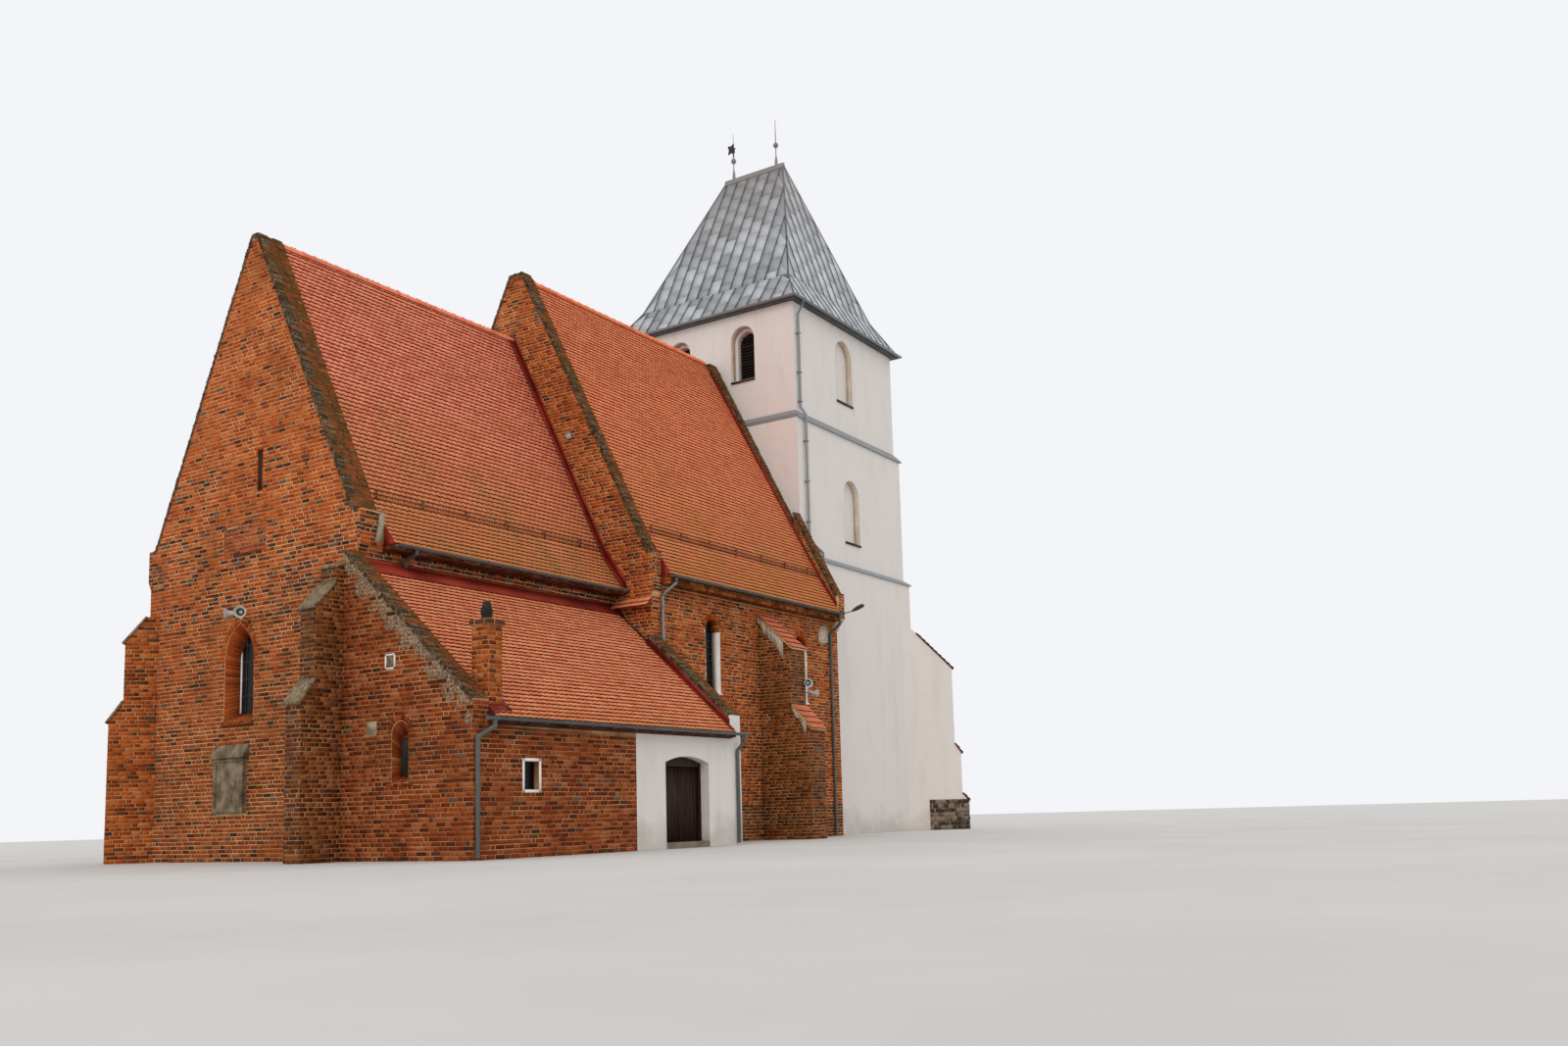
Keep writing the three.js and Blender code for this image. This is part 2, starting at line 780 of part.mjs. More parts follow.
// Each side wall is two lengths with a window each, and they meet behind the buttress
const naveMid = (naveButtress.x0 + naveButtress.x1) / 2;
for (const [side, y0] of [
  ["north", nave.y - nave.halfWidth],
  ["south", nave.y + nave.halfWidth - nave.wall],
]) {
  const y1 = y0 + nave.wall;
  [["east", naveX0, naveMid - GAP], ["west", naveMid, naveX1]].forEach(([end, x0, x1], i) => {
    addPart(
      `nave_${side}_wall_${end}`,
      cut(block(x0, x1, y0, y1, 0, nave.wallTop), alongY(naveHoles[i], y0 - OVER, y1 + OVER)),
      brick,
    );
  });
}
pitchedRoof("nave_roof", naveX0, naveX1, nave.y, nave.wallTop, nave.roof);

const naveButtressOutline = [
  [nave.halfWidth + GAP, 0],
  [naveButtress.lower.out, 0],
  [naveButtress.lower.out, naveButtress.lower.top],
  [naveButtress.upper.out, naveButtress.upper.foot],
  [naveButtress.upper.out, naveButtress.upper.top],
  [nave.halfWidth + GAP, naveButtress.top],
];
for (const [name, outline] of [
  ["nave_south_buttress", naveButtressOutline],
  ["nave_north_buttress", mirrored(naveButtressOutline)],
]) {
  const placed = outline.map(([out, z]) => [nave.y + out, z]);
  addPart(name, alongX(placed, naveButtress.x0, naveButtress.x1), brick);
}

// Windows: each pane stands in its own reveal
const paneY = (face, side) => {
  const outer = face - side * naveWindow.depth;
  return [Math.min(outer, outer - side * paneThick), Math.max(outer, outer - side * paneThick)];
};
function addPane(name, x, spec, face, side) {
  const outline = roundHead(x, spec.width - 2 * GAP, spec.sill + GAP, spec.spring);
  addPart(name, alongY(outline, ...paneY(face, side)), glass);
}
naveWindow.northX.forEach((x, i) => {
  addPane(`nave_north_window_${i + 1}`, x, naveWindow, nave.y - nave.halfWidth, -1);
  addPane(`nave_south_window_${i + 1}`, x, naveWindow, nave.y + nave.halfWidth, 1);
});
chancelWindow.southX.forEach((x, i) => {
  addPane(`chancel_south_window_${i + 1}`, x, chancelWindow, chancel.halfWidth, 1);
});
addPart(
  "sacristy_window",
  block(
    sacristyWindow.x0 + GAP, sacristyWindow.x1 - GAP,
    sacristy.northY + 150, sacristy.northY + 150 + paneThick,
    sacristyWindow.bottom + GAP, sacristyWindow.top - GAP,
  ),
  glass,
);

// Tower: three stages that step in, each a square tube of masonry
function towerStage(name, stage, bottom, east, cuts) {
  const x0 = Math.max(tower.x - stage.hx, east);
  const x1 = tower.x + stage.hx;
  const y0 = tower.y - stage.hy;
  const y1 = tower.y + stage.hy;
  const shaft = block(
    tower.x - tower.inner, tower.x + tower.inner, tower.y - tower.inner, tower.y + tower.inner,
    bottom - OVER, stage.top + OVER,
  );
  addPart(name, cut(block(x0, x1, y0, y1, bottom, stage.top), shaft, ...cuts), plaster);
}
const lowerArch = alongX(
  roundHead(towerArch.y, towerArch.width, -OVER, towerArch.spring),
  nave.westX - OVER,
  tower.x - tower.inner + OVER,
);
towerStage("tower_lower_stage", tower.lower, 0, nave.westX + GAP, [lowerArch]);
const blindNiches = (stage) => {
  const { x, width, bottom, spring, depth } = stage.niche;
  const outline = roundHead(x, width, bottom, spring);
  return [
    alongY(outline, tower.y - stage.hy - OVER, tower.y - stage.hy + depth),
    alongY(outline, tower.y + stage.hy - depth, tower.y + stage.hy + OVER),
  ];
};
towerStage("tower_middle_stage", tower.middle, tower.lower.top + GAP, nave.westX + GAP,
  blindNiches(tower.middle));
const belfryCuts = [];
for (const offset of belfry.offsets) {
  for (const side of [-1, 1]) {
    const face = tower.x + side * tower.upper.hx;
    const inside = tower.x + side * (tower.inner - OVER);
    const outside = face + side * OVER;
    const order = face - side * belfry.step;
    belfryCuts.push(
      alongX(roundHead(tower.y + offset, belfry.inner, belfry.bottom, belfry.spring),
        Math.min(face, inside), Math.max(face, inside)),
      alongX(roundHead(tower.y + offset, belfry.width, belfry.sill, belfry.spring),
        Math.min(outside, order), Math.max(outside, order)),
    );
  }
}
towerStage("tower_upper_stage", tower.upper, tower.middle.top + GAP, nave.westX + GAP,
  [...belfryCuts, ...blindNiches(tower.upper)]);
for (const [name, side] of [["east", -1], ["west", 1]]) {
  const wallBack = tower.x + side * tower.inner;
  const boardFront = wallBack - side * GAP;
  const boardBack = wallBack - side * louvre.board;
  const panelFront = wallBack + side * louvre.panel;
  const panels = belfry.offsets.map((offset) => alongX(
    roundHead(tower.y + offset, belfry.inner - 2 * louvre.clear, belfry.bottom + louvre.clear,
      belfry.spring - louvre.clear),
    Math.min(boardBack, panelFront),
    Math.max(boardBack, panelFront),
  ));
  const board = block(
    Math.min(boardFront, boardBack), Math.max(boardFront, boardBack),
    tower.y + belfry.offsets[0] - louvre.reach, tower.y + belfry.offsets[1] + louvre.reach,
    belfry.bottom - louvre.below, belfry.spring + louvre.above,
  );
  addPart(`tower_louvres_${name}`, join(board, ...panels), darkWood);
}

// A four-sided form whose sides follow one profile seen along Y and another seen along X
function fourSided(profile) {
  const east = profile.map(([hx, , z]) => [tower.x + hx, z]);
  const west = profile.map(([hx, , z]) => [tower.x - hx, z]).reverse();
  const south = profile.map(([, hy, z]) => [tower.y + hy, z]);
  const north = profile.map(([, hy, z]) => [tower.y - hy, z]).reverse();
  const reach = 9000;
  const across = toSolid(alongY([...east, ...west], tower.y - reach, tower.y + reach));
  const along = toSolid(alongX([...south, ...north], tower.x - reach, tower.x + reach));
  return across.intersect(along);
}

// Sloping metal-covered offsets where the tower steps in
function towerOffset(name, below, above, out, rise) {
  const z0 = below.top + GAP;
  const solid = fourSided([
    [below.hx + out, below.hy + out, z0],
    [below.hx + out, below.hy + out, z0 + 50],
    [above.hx, above.hy, z0 + rise],
  ]);
  const core = block(
    tower.x - above.hx - GAP, tower.x + above.hx + GAP,
    tower.y - above.hy - GAP, tower.y + above.hy + GAP, z0 - 10, z0 + rise + 10,
  );
  const trimEast = block(nave.westX - 2000, nave.westX + GAP, -9000, 9000, z0 - 10, z0 + rise + 10);
  addPart(name, toGeometry(solid.subtract(toSolid(core)).subtract(toSolid(trimEast))), zinc);
}
towerOffset("tower_lower_offset", tower.lower, tower.middle, 70, 230);
towerOffset("tower_upper_offset", tower.middle, tower.upper, 80, 330);

// Steep hipped tower roof with a flared foot, open below
const eave = { hx: tower.upper.hx + tower.eaveOut, hy: tower.upper.hy + tower.eaveOut };
const roofFoot = tower.upper.top + GAP;
const roofSkin = fourSided([
  [eave.hx, eave.hy, roofFoot],
  [eave.hx, eave.hy, tower.roofEave],
  [tower.roofKnee.hx, tower.roofKnee.hy, tower.roofKnee.z],
  [0.5, tower.ridge.half, tower.ridge.z],
]);
const roofVoid = fourSided([
  [tower.inner, tower.inner, roofFoot - 10],
  [tower.inner, tower.inner, roofFoot + 600],
  [300, tower.ridge.half - 100, tower.ridge.z - 1000],
]);
addPart("tower_roof", toGeometry(roofSkin.subtract(roofVoid)), zinc);

// Ridge cap with two finials, and the weather vane that turns on the south one
const finial = { south: 1220, north: -880, foot: 70, neck: 22, ball: 115, collar: 34, rod: 12 };
const ridgeTop = tower.ridge.z;
const vaneFoot = ridgeTop + 1060;
const vaneTop = ridgeTop + 1640;
function turned(profile, y) {
  const lathe = new THREE.LatheGeometry(profile.map(([r, z]) => new THREE.Vector2(r, z)), 12);
  lathe.rotateX(Math.PI / 2);
  lathe.translate(tower.x, y, 0);
  return lathe;
}
const ridgeCap = alongY(
  [
    [tower.x - 110, ridgeTop - 170],
    [tower.x + 110, ridgeTop - 170],
    [tower.x + 60, ridgeTop + 60],
    [tower.x - 60, ridgeTop + 60],
  ],
  tower.y - tower.ridge.half - 40,
  tower.y + tower.ridge.half + 40,
);
// Foot, neck and ball of a finial as [radius, z] points, with the ball's middle at the given level
const finialShaft = (ballZ) => [
  [0, ridgeTop - 20],
  [finial.foot, ridgeTop - 20],
  [finial.foot - 10, ridgeTop + 250],
  [finial.neck, ridgeTop + 500],
  [finial.neck, ballZ - finial.ball],
  [finial.ball * 0.75, ballZ - finial.ball * 0.65],
  [finial.ball, ballZ],
  [finial.ball * 0.75, ballZ + finial.ball * 0.65],
];
const northRod = turned(
  [...finialShaft(ridgeTop + 930), [finial.neck, ridgeTop + 1045], [finial.rod, ridgeTop + 2050],
    [0, ridgeTop + 2060]],
  finial.north,
);
const southRod = turned(
  [...finialShaft(ridgeTop + 860), [finial.collar, ridgeTop + 975], [finial.collar, vaneFoot],
    [finial.rod, vaneFoot], [finial.rod, ridgeTop + 2040], [0, ridgeTop + 2050]],
  finial.south,
);
const roofClear = toSolid(ridgeCap).add(toSolid(northRod)).add(toSolid(southRod)).subtract(
  fourSided([
    [eave.hx + GAP, eave.hy + GAP, roofFoot],
    [eave.hx + GAP, eave.hy + GAP, tower.roofEave],
    [tower.roofKnee.hx + GAP, tower.roofKnee.hy + GAP, tower.roofKnee.z],
    [0.5 + GAP, tower.ridge.half + GAP, tower.ridge.z + GAP],
  ]),
);
addPart("tower_ridge_and_finials", toGeometry(roofClear), zinc);
const vaneFlag = alongX(
  [
    [-70, 150],
    [20, 150],
    [120, 190],
    [280, 140],
    [230, 340],
    [280, 540],
    [120, 510],
    [20, 560],
    [-20, 560],
    [-20, 390],
    [-70, 380],
    [-130, 350],
    [-70, 320],
  ].map(([y, z]) => [finial.south + y, vaneFoot + z]),
  tower.x - 6,
  tower.x + 6,
);
const vaneSleeve = uprightRod(30, tower.x, finial.south, vaneFoot + GAP, vaneTop);
const vaneBore = uprightRod(17, tower.x, finial.south, vaneFoot - OVER, vaneTop + OVER);
addPart("weather_vane", cut(join(vaneFlag, vaneSleeve), vaneBore), iron);

// Diagonal buttresses at the tower's west corners
const towerButtress = {
  half: 600,
  back: 800,
  plinth: { out: 1930, top: 1180 },
  lower: { out: 1700, foot: 1420, top: 3060 },
  upper: { out: 1460, foot: 3400, top: 6460 },
  head: { out: -200, top: 8050 },
};
const towerButtressProfile = [
  [towerButtress.plinth.out, 0],
  [towerButtress.plinth.out, towerButtress.plinth.top],
  [towerButtress.lower.out, towerButtress.lower.foot],
  [towerButtress.lower.out, towerButtress.lower.top],
  [towerButtress.upper.out, towerButtress.upper.foot],
  [towerButtress.upper.out, towerButtress.upper.top],
  [towerButtress.head.out, towerButtress.head.top],
  [-towerButtress.back, towerButtress.head.top],
  [-towerButtress.back, 0],
];
for (const [name, side] of [["tower_nw_buttress", -1], ["tower_sw_buttress", 1]]) {
  const solid = alongY(towerButtressProfile, -towerButtress.half, towerButtress.half);
  solid.rotateZ((side * Math.PI) / 4);
  solid.translate(tower.x + tower.lower.hx, tower.y + side * tower.lower.hy, 0);
  const body = block(
    tower.x - 5000, tower.x + tower.lower.hx + GAP,
    tower.y - tower.lower.hy - GAP, tower.y + tower.lower.hy + GAP, -OVER, tower.lower.top,
  );
  addPart(name, cut(solid, body), plaster);
}

// Gutters and their downpipes
const chancelDropX = { north: 1300, south: 8700 };
const naveDropX = 19100;
for (const [side, label] of [[-1, "north"], [1, "south"]]) {
  const wallY = side * chancel.halfWidth;
  const gutterY = side * (chancel.roof.eave[0] + gutter.off);
  const top = chancel.roof.eave[1] - gutter.drop;
  const x = chancelDropX[label];
  const drop = side < 0
    ? [[x, gutterY, top - 60], [x, gutterY, top - 160], [x, wallY + side * 80, top - 300],
      [x, wallY + side * 200, top - 420]]
    : [[x, gutterY, top - 60], [x, gutterY, top - 200], [x, wallY + side * 60, top - 500],
      [x, wallY + side * 60, 60]];
  addPart(
    `chancel_${label}_gutter`,
    join(gutterShape(chancelX0 + 20, chancelX1 - 20, gutterY, top), pipe(drop, 45)),
    zinc,
  );
}
for (const [side, label] of [[-1, "north"], [1, "south"]]) {
  const wallY = nave.y + side * nave.halfWidth;
  const gutterY = nave.y + side * (nave.roof.eave[0] + gutter.off);
  const top = nave.roof.eave[1] - gutter.drop;
  const drop = [[naveDropX, gutterY, top - 60], [naveDropX, gutterY, top - 390],
    [naveDropX, wallY + side * 60, top - 700], [naveDropX, wallY + side * 60, 60]];
  addPart(
    `nave_${label}_gutter`,
    join(gutterShape(naveX0 + 20, naveX1 - 20, gutterY, top), pipe(drop, 50)),
    zinc,
  );
}
const leanGutterY = sacristy.eaveY - gutter.off;
const leanGutterZ = leanTop(sacristy.eaveY) - gutter.drop;
addPart(
  "sacristy_gutter",
  join(
    gutterShape(-200, sacristy.westX - 20, leanGutterY, leanGutterZ),
    pipe([[0, leanGutterY, leanGutterZ - 40], [0, leanGutterY, leanGutterZ - 200],
      [-270, sacristy.northY - 60, leanGutterZ - 420], [-270, sacristy.northY - 60, 60]], 50),
    pipe([[9300, leanGutterY, leanGutterZ - 40], [9300, leanGutterY, leanGutterZ - 200],
      [9250, sacristy.northY - 60, leanGutterZ - 450], [9250, sacristy.northY - 60, 60]], 50),
  ),
  zinc,
);

// Plain stone tablet with a small sloped cap on the east wall
const tablet = {
  y0: -160,
  y1: 980,
  z0: 1150,
  z1: 2480,
  out: 90,
  cap: { out: 170, edge: 60, top: 330, side: 70 },
};
addPart(
  "east_stone_tablet",
  join(
    block(-tablet.out, -GAP, tablet.y0, tablet.y1, tablet.z0, tablet.z1),
    alongY(
      [
        [-tablet.cap.out, tablet.z1 - 5],
        [-tablet.cap.out, tablet.z1 + tablet.cap.edge],
        [-GAP, tablet.z1 + tablet.cap.top],
        [-GAP, tablet.z1 - 5],
      ],
      tablet.y0 - tablet.cap.side,
      tablet.y1 + tablet.cap.side,
    ),
  ),
  stone,
);

// One floor through chancel, nave and tower, as the half outlines of its three rooms and two arches
const roomY = {
  chancel: [-chancel.halfWidth + chancel.wall, chancel.halfWidth - chancel.wall],
  chancelArch: [chancelArch.y - chancelArch.width / 2, chancelArch.y + chancelArch.width / 2],
  nave: [nave.y - nave.halfWidth + nave.wall, nave.y + nave.halfWidth - nave.wall],
  towerArch: [towerArch.y - towerArch.width / 2, towerArch.y + towerArch.width / 2],
  tower: [tower.y - tower.inner, tower.y + tower.inner],
};
const floorRuns = [
  [chancelX0, nave.eastX - GAP, roomY.chancel],
  [nave.eastX - GAP, naveX0, roomY.chancelArch],
  [naveX0, naveX1, roomY.nave],
  [naveX1, tower.x - tower.inner + GAP, roomY.towerArch],
  [tower.x - tower.inner + GAP, tower.x + tower.inner - GAP, roomY.tower],
];
const floorOutline = [
  ...floorRuns.flatMap(([x0, x1, [y0]]) => [[x0, y0 + GAP], [x1, y0 + GAP]]),
  ...floorRuns.flatMap(([x0, x1, [, y1]]) => [[x0, y1 - GAP], [x1, y1 - GAP]]).reverse(),
];
addPart("church_floor", alongZ(floorOutline, 0, floorTop), stone);

// The origin is the middle of the footprint's box, on the ground
const reach = new THREE.Box3().setFromObject(church);
const middle = reach.getCenter(new THREE.Vector3());
church.position.set(-middle.x, -middle.y, 0);

export default church;
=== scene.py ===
import logging
import math
from collections.abc import Sequence
from dataclasses import dataclass
from enum import Enum

import bpy
import numpy as np
from mathutils import Matrix, Vector


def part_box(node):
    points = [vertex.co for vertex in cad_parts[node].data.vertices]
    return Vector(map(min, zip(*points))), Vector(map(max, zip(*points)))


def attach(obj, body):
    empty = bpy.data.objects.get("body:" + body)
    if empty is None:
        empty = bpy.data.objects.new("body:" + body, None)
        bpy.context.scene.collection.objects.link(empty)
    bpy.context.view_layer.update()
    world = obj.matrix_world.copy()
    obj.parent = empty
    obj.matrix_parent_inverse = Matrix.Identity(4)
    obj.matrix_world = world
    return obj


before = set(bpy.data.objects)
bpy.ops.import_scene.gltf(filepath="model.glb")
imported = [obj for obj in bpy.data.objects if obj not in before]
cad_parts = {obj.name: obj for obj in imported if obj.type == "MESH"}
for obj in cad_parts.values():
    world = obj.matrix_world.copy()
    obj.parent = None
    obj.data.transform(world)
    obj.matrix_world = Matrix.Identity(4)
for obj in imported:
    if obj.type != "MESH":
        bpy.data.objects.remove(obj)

Point2 = tuple[float, float]
Point3 = tuple[float, float, float]
Outline = list[Point2]
Stops = tuple[tuple[float, str], ...]
Tree = bpy.types.NodeTree
Socket = bpy.types.NodeSocket

log = logging.getLogger("church")
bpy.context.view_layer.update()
BUILDING = "building"
ALONG = (1.0, 0.0, 0.0)
ACROSS = (0.0, 1.0, 0.0)
# Half the chancel's width
CHANCEL_HALF = 3.95
# Where the building's own x and y are 0: its east face and the chancel's axis
EAST_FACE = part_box("chancel_east_wall")[0].x
CHURCH_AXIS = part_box("chancel_north_wall")[0].y + CHANCEL_HALF
# The nave's axis, and the names of its side walls
NAVE_AXIS = -0.17
SIDE_WALLS = tuple(f"nave_{side}_wall_{end}" for side in ("north", "south") for end in ("east", "west"))


# Finishes


def linear(hex_colour: str) -> tuple[float, float, float, float]:
    """Turns an sRGB hex colour into linear RGBA.

    Args:
        hex_colour: Six hex digits, with or without a leading hash.

    Returns:
        The colour's linear red, green and blue, with alpha 1.
    """
    text = hex_colour.lstrip("#")
    parts = [int(text[i : i + 2], 16) / 255 for i in (0, 2, 4)]
    r, g, b = (c / 12.92 if c <= 0.04045 else ((c + 0.055) / 1.055) ** 2.4 for c in parts)
    return (r, g, b, 1.0)


def add_node(tree: Tree, kind: str, inputs: dict | None = None, **settings) -> bpy.types.Node:
    """Adds a node with its settings and links.

    Args:
        tree: The node tree that gets the node.
        kind: Blender's name of the node type.
        inputs: Input name or index to a value, or to an output socket to link.
        settings: Attributes of the node, and ramp=[(place, hex colour), ...] for a colour ramp.

    Returns:
        The new node.
    """
    node = tree.nodes.new(kind)
    for key, stop in enumerate(settings.pop("ramp", [])):
        stops = node.color_ramp.elements
        element = stops[key] if key < len(stops) else stops.new(stop[0])
        element.position = stop[0]
        element.color = linear(stop[1])
    for key, value in settings.items():
        setattr(node, key, value)
    for key, value in (inputs or {}).items():
        if isinstance(value, Socket):
            tree.links.new(value, node.inputs[key])
        else:
            node.inputs[key].default_value = value
    return node


@dataclass(frozen=True)
class Finish:
    """A finish: what a surface is made of and how its maker left it.

    Attributes:
        name: The material's name.
        roughness: The shader's roughness.
        metallic: The shader's metallic value.
        shine: The shader's specular level; low for rough, open-pored surfaces.
    """

    name: str
    roughness: float = 0.9
    metallic: float = 0.0
    shine: float = 0.5

    def colour(self, tree: Tree, place: Socket) -> Socket:
        """Builds the colour's nodes from the object's coordinates in metres."""
        raise NotImplementedError

    def relief(self, tree: Tree, place: Socket) -> Socket | None:
        """Builds the nodes of the bump's height in metres, or None for a smooth surface."""
        return None

    def material(self) -> bpy.types.Material:
        """Makes the finish's material, or finds it if it is there.

        Returns:
            The material.
        """
        made = bpy.data.materials.get(self.name)
        if made:
            return made
        made = bpy.data.materials.new(self.name)
        made.use_nodes = True
        tree = made.node_tree
        shader = tree.nodes["Principled BSDF"]
        place = add_node(tree, "ShaderNodeTexCoord").outputs["Object"]
        shader.inputs["Roughness"].default_value = self.roughness
        shader.inputs["Metallic"].default_value = self.metallic
        shader.inputs["Specular IOR Level"].default_value = self.shine
        tree.links.new(self.colour(tree, place), shader.inputs["Base Color"])
        height = self.relief(tree, place)
        if height is not None:
            bump = add_node(tree, "ShaderNodeBump", {"Height": height, "Distance": 1.0})
            tree.links.new(bump.outputs["Normal"], shader.inputs["Normal"])
        return made


def noise(tree: Tree, place: Socket, size: float, detail: float = 3.0, rough: float = 0.55,
          stretch: Point3 = (1, 1, 1)) -> Socket:
    """Builds a cloud of soft patches.

    Args:
        tree: The node tree.
        place: Coordinates in metres.
        size: The patches' size in metres.
        detail: How many finer layers are added.
        rough: How strong the finer layers are.
        stretch: Factors on the patches' size along x, y and z.

    Returns:
        A socket with values about 0.3 to 0.7.
    """
    scale = tuple(1 / (size * s) for s in stretch)
    scaled = add_node(tree, "ShaderNodeVectorMath", {0: place, 1: scale}, operation="MULTIPLY")
    inputs = {"Vector": scaled.outputs[0], "Scale": 1.0, "Detail": detail, "Roughness": rough}
    return add_node(tree, "ShaderNodeTexNoise", inputs).outputs["Fac"]


def mix(tree: Tree, factor: Socket | float, a: Socket | tuple, b: Socket | tuple,
        blend: str = "MIX") -> Socket:
    """Mixes two colours.

    Args:
        tree: The node tree.
        factor: How much of b, as a value or a socket.
        a: The first colour.
        b: The second colour.
        blend: Blender's name of the way they mix.

    Returns:
        The mixed colour's socket.
    """
    inputs = {"Factor": factor, 6: a, 7: b}
    return add_node(tree, "ShaderNodeMix", inputs, data_type="RGBA", blend_type=blend).outputs[2]


def span(tree: Tree, value: Socket, low: float, high: float, to_low: float = 0.0,
         to_high: float = 1.0) -> Socket:
    """Maps a value from one range to another, held at its ends.

    Args:
        tree: The node tree.
        value: The value to map.
        low: The value that becomes to_low.
        high: The value that becomes to_high.
        to_low: The result at low.
        to_high: The result at high.

    Returns:
        The mapped value's socket.
    """
    inputs = {"Value": value, "From Min": low, "From Max": high, "To Min": to_low, "To Max": to_high}
    return add_node(tree, "ShaderNodeMapRange", inputs, clamp=True).outputs[0]


def times(tree: Tree, a: Socket, b: Socket | float, operation: str = "MULTIPLY") -> Socket:
    """Joins two values by a product, or by the named operation."""
    return add_node(tree, "ShaderNodeMath", {0: a, 1: b}, operation=operation).outputs[0]


def per_piece(tree: Tree) -> Socket:
    """Returns a value from 0 to 1 that differs from brick to brick, tile to tile or sheet to sheet."""
    return add_node(tree, "ShaderNodeNewGeometry").outputs["Random Per Island"]


def piece_tone(tree: Tree, stops: Stops) -> Socket:
    """Returns one of the stops' tones for each brick, tile or sheet."""
    return add_node(tree, "ShaderNodeValToRGB", {0: per_piece(tree)}, ramp=list(stops)).outputs[0]


def level_of(tree: Tree, place: Socket) -> Socket:
    """Returns the level above the ground in metres."""
    return add_node(tree, "ShaderNodeSeparateXYZ", {0: place}).outputs[2]


@dataclass(frozen=True)
class FiredBrick(Finish):
    """Hand-moulded fired clay brick: each brick takes its own red from the kiln.

    Attributes:
        shine: The shader's specular level.
        tones: Colour stops over the bricks.
        stain: Colour of the soot and algae that lie over the bricks in patches.
        stain_amount: How strong the stain is, from 0 to 1.
        foot: How much darker the wall gets from foot_top down to foot_low, from 0 to 1.
        foot_low: Level in metres where it is darkest.
        foot_top: Level in metres where it starts to get darker.
    """

    shine: float = 0.08
    tones: Stops = ()
    stain: str = "#4a3522"
    stain_amount: float = 0.45
    foot: float = 0.0
    foot_low: float = 2.0
    foot_top: float = 9.0

    def colour(self, tree: Tree, place: Socket) -> Socket:
        """Builds the brick by brick tone, its speckle and the stains over it.

        Args:
            tree: The node tree.
            place: The object's coordinates in metres.

        Returns:
            The colour's socket.
        """
        speckle = span(tree, noise(tree, place, 0.05, 4, 0.7), 0.3, 0.7, 0.72, 1.22)
        grey = add_node(tree, "ShaderNodeCombineColor", {0: speckle, 1: speckle, 2: speckle}).outputs[0]
        speckled = mix(tree, 1.0, piece_tone(tree, self.tones), grey, "MULTIPLY")
        patch = span(tree, noise(tree, place, 1.6, 5, 0.65), 0.5, 0.7, 0.0, self.stain_amount)
        stained = mix(tree, patch, speckled, linear(self.stain))
        low = span(tree, level_of(tree, place), self.foot_low, self.foot_top, self.foot, 0.0)
        return mix(tree, low, stained, linear(self.stain))

    def relief(self, tree: Tree, place: Socket) -> Socket:
        """Builds rough sand-struck faces."""
        return times(tree, noise(tree, place, 0.03, 3, 0.7), 0.008)


@dataclass(frozen=True)
class WashedBrick(FiredBrick):
    """Brick with old mortar smeared over it in a ragged strip below a raking wall head.

    Attributes:
        wash: The mortar's colour.
        shade: The mortar's darker patches.
        head: The wall head's level where the building's axis is.
        slope: How much the wall head rises per metre towards the south.
        reach: How far down the strip comes, in metres.
        ragged: How far its lower edge wanders up and down, in metres.
    """

    wash: str = "#ab9c88"
    shade: str = "#50402c"
    head: float = 10.577
    slope: float = 0.906
    reach: float = 0.5
    ragged: float = 0.45

    def colour(self, tree: Tree, place: Socket) -> Socket:
        """Builds the brick's colour and the strip of mortar over it.

        Args:
            tree: The node tree.
            place: The object's coordinates in metres.

        Returns:
            The colour's socket.
        """
        bricks = super().colour(tree, place)
        axes = add_node(tree, "ShaderNodeSeparateXYZ", {0: place}).outputs
        line = times(tree, times(tree, axes[1], self.slope), self.head - self.slope * CHURCH_AXIS, "ADD")
        below = times(tree, line, axes[2], "SUBTRACT")
        wander = span(tree, noise(tree, place, 0.5, 6, 0.7), 0.3, 0.7, -self.ragged, self.ragged)
        edge = times(tree, below, wander, "ADD")
        patches = span(tree, noise(tree, place, 0.06, 4, 0.75), 0.42, 0.58)
        mortar = mix(tree, patches, linear(self.shade), linear(self.wash))
        return mix(tree, span(tree, edge, self.reach - 0.06, self.reach + 0.06, 0.9, 0.0), bricks, mortar)


@dataclass(frozen=True)
class Clouded(Finish):
    """A mixed material such as lime mortar, render, stone or timber: two tones in soft patches.

    Attributes:
        shine: The shader's specular level.
        light: The lighter tone.
        dark: The darker tone.
        size: The patches' size in metres.
        grain: The size of the bump's grains in metres.
        depth: The bump's height in metres.
        stretch: Factors on the patches' size along x, y and z.
        low: The noise value that gives the darker tone in full.
        high: The noise value that gives the lighter tone in full.
        pieces: How much the tone differs from piece to piece, from 0 to 1.
    """

    shine: float = 0.2
    light: str = "#ffffff"
    dark: str = "#888888"
    size: float = 0.5
    grain: float = 0.03
    depth: float = 0.003
    stretch: Point3 = (1, 1, 1)
    low: float = 0.38
    high: float = 0.62
    pieces: float = 0.0

    def colour(self, tree: Tree, place: Socket) -> Socket:
        """Builds two tones in patches.

        Args:
            tree: The node tree.
            place: The object's coordinates in metres.

        Returns:
            The colour's socket.
        """
        cloud = noise(tree, place, self.size, 6, 0.62, self.stretch)
        if self.pieces:
            shift = span(tree, per_piece(tree), 0, 1, -self.pieces / 2, self.pieces / 2)
            cloud = times(tree, cloud, shift, "ADD")
        return mix(tree, span(tree, cloud, self.low, self.high), linear(self.dark), linear(self.light))

    def relief(self, tree: Tree, place: Socket) -> Socket:
        """Builds fine grains."""
        return times(tree, noise(tree, place, self.grain, 4, 0.6, self.stretch), self.depth)


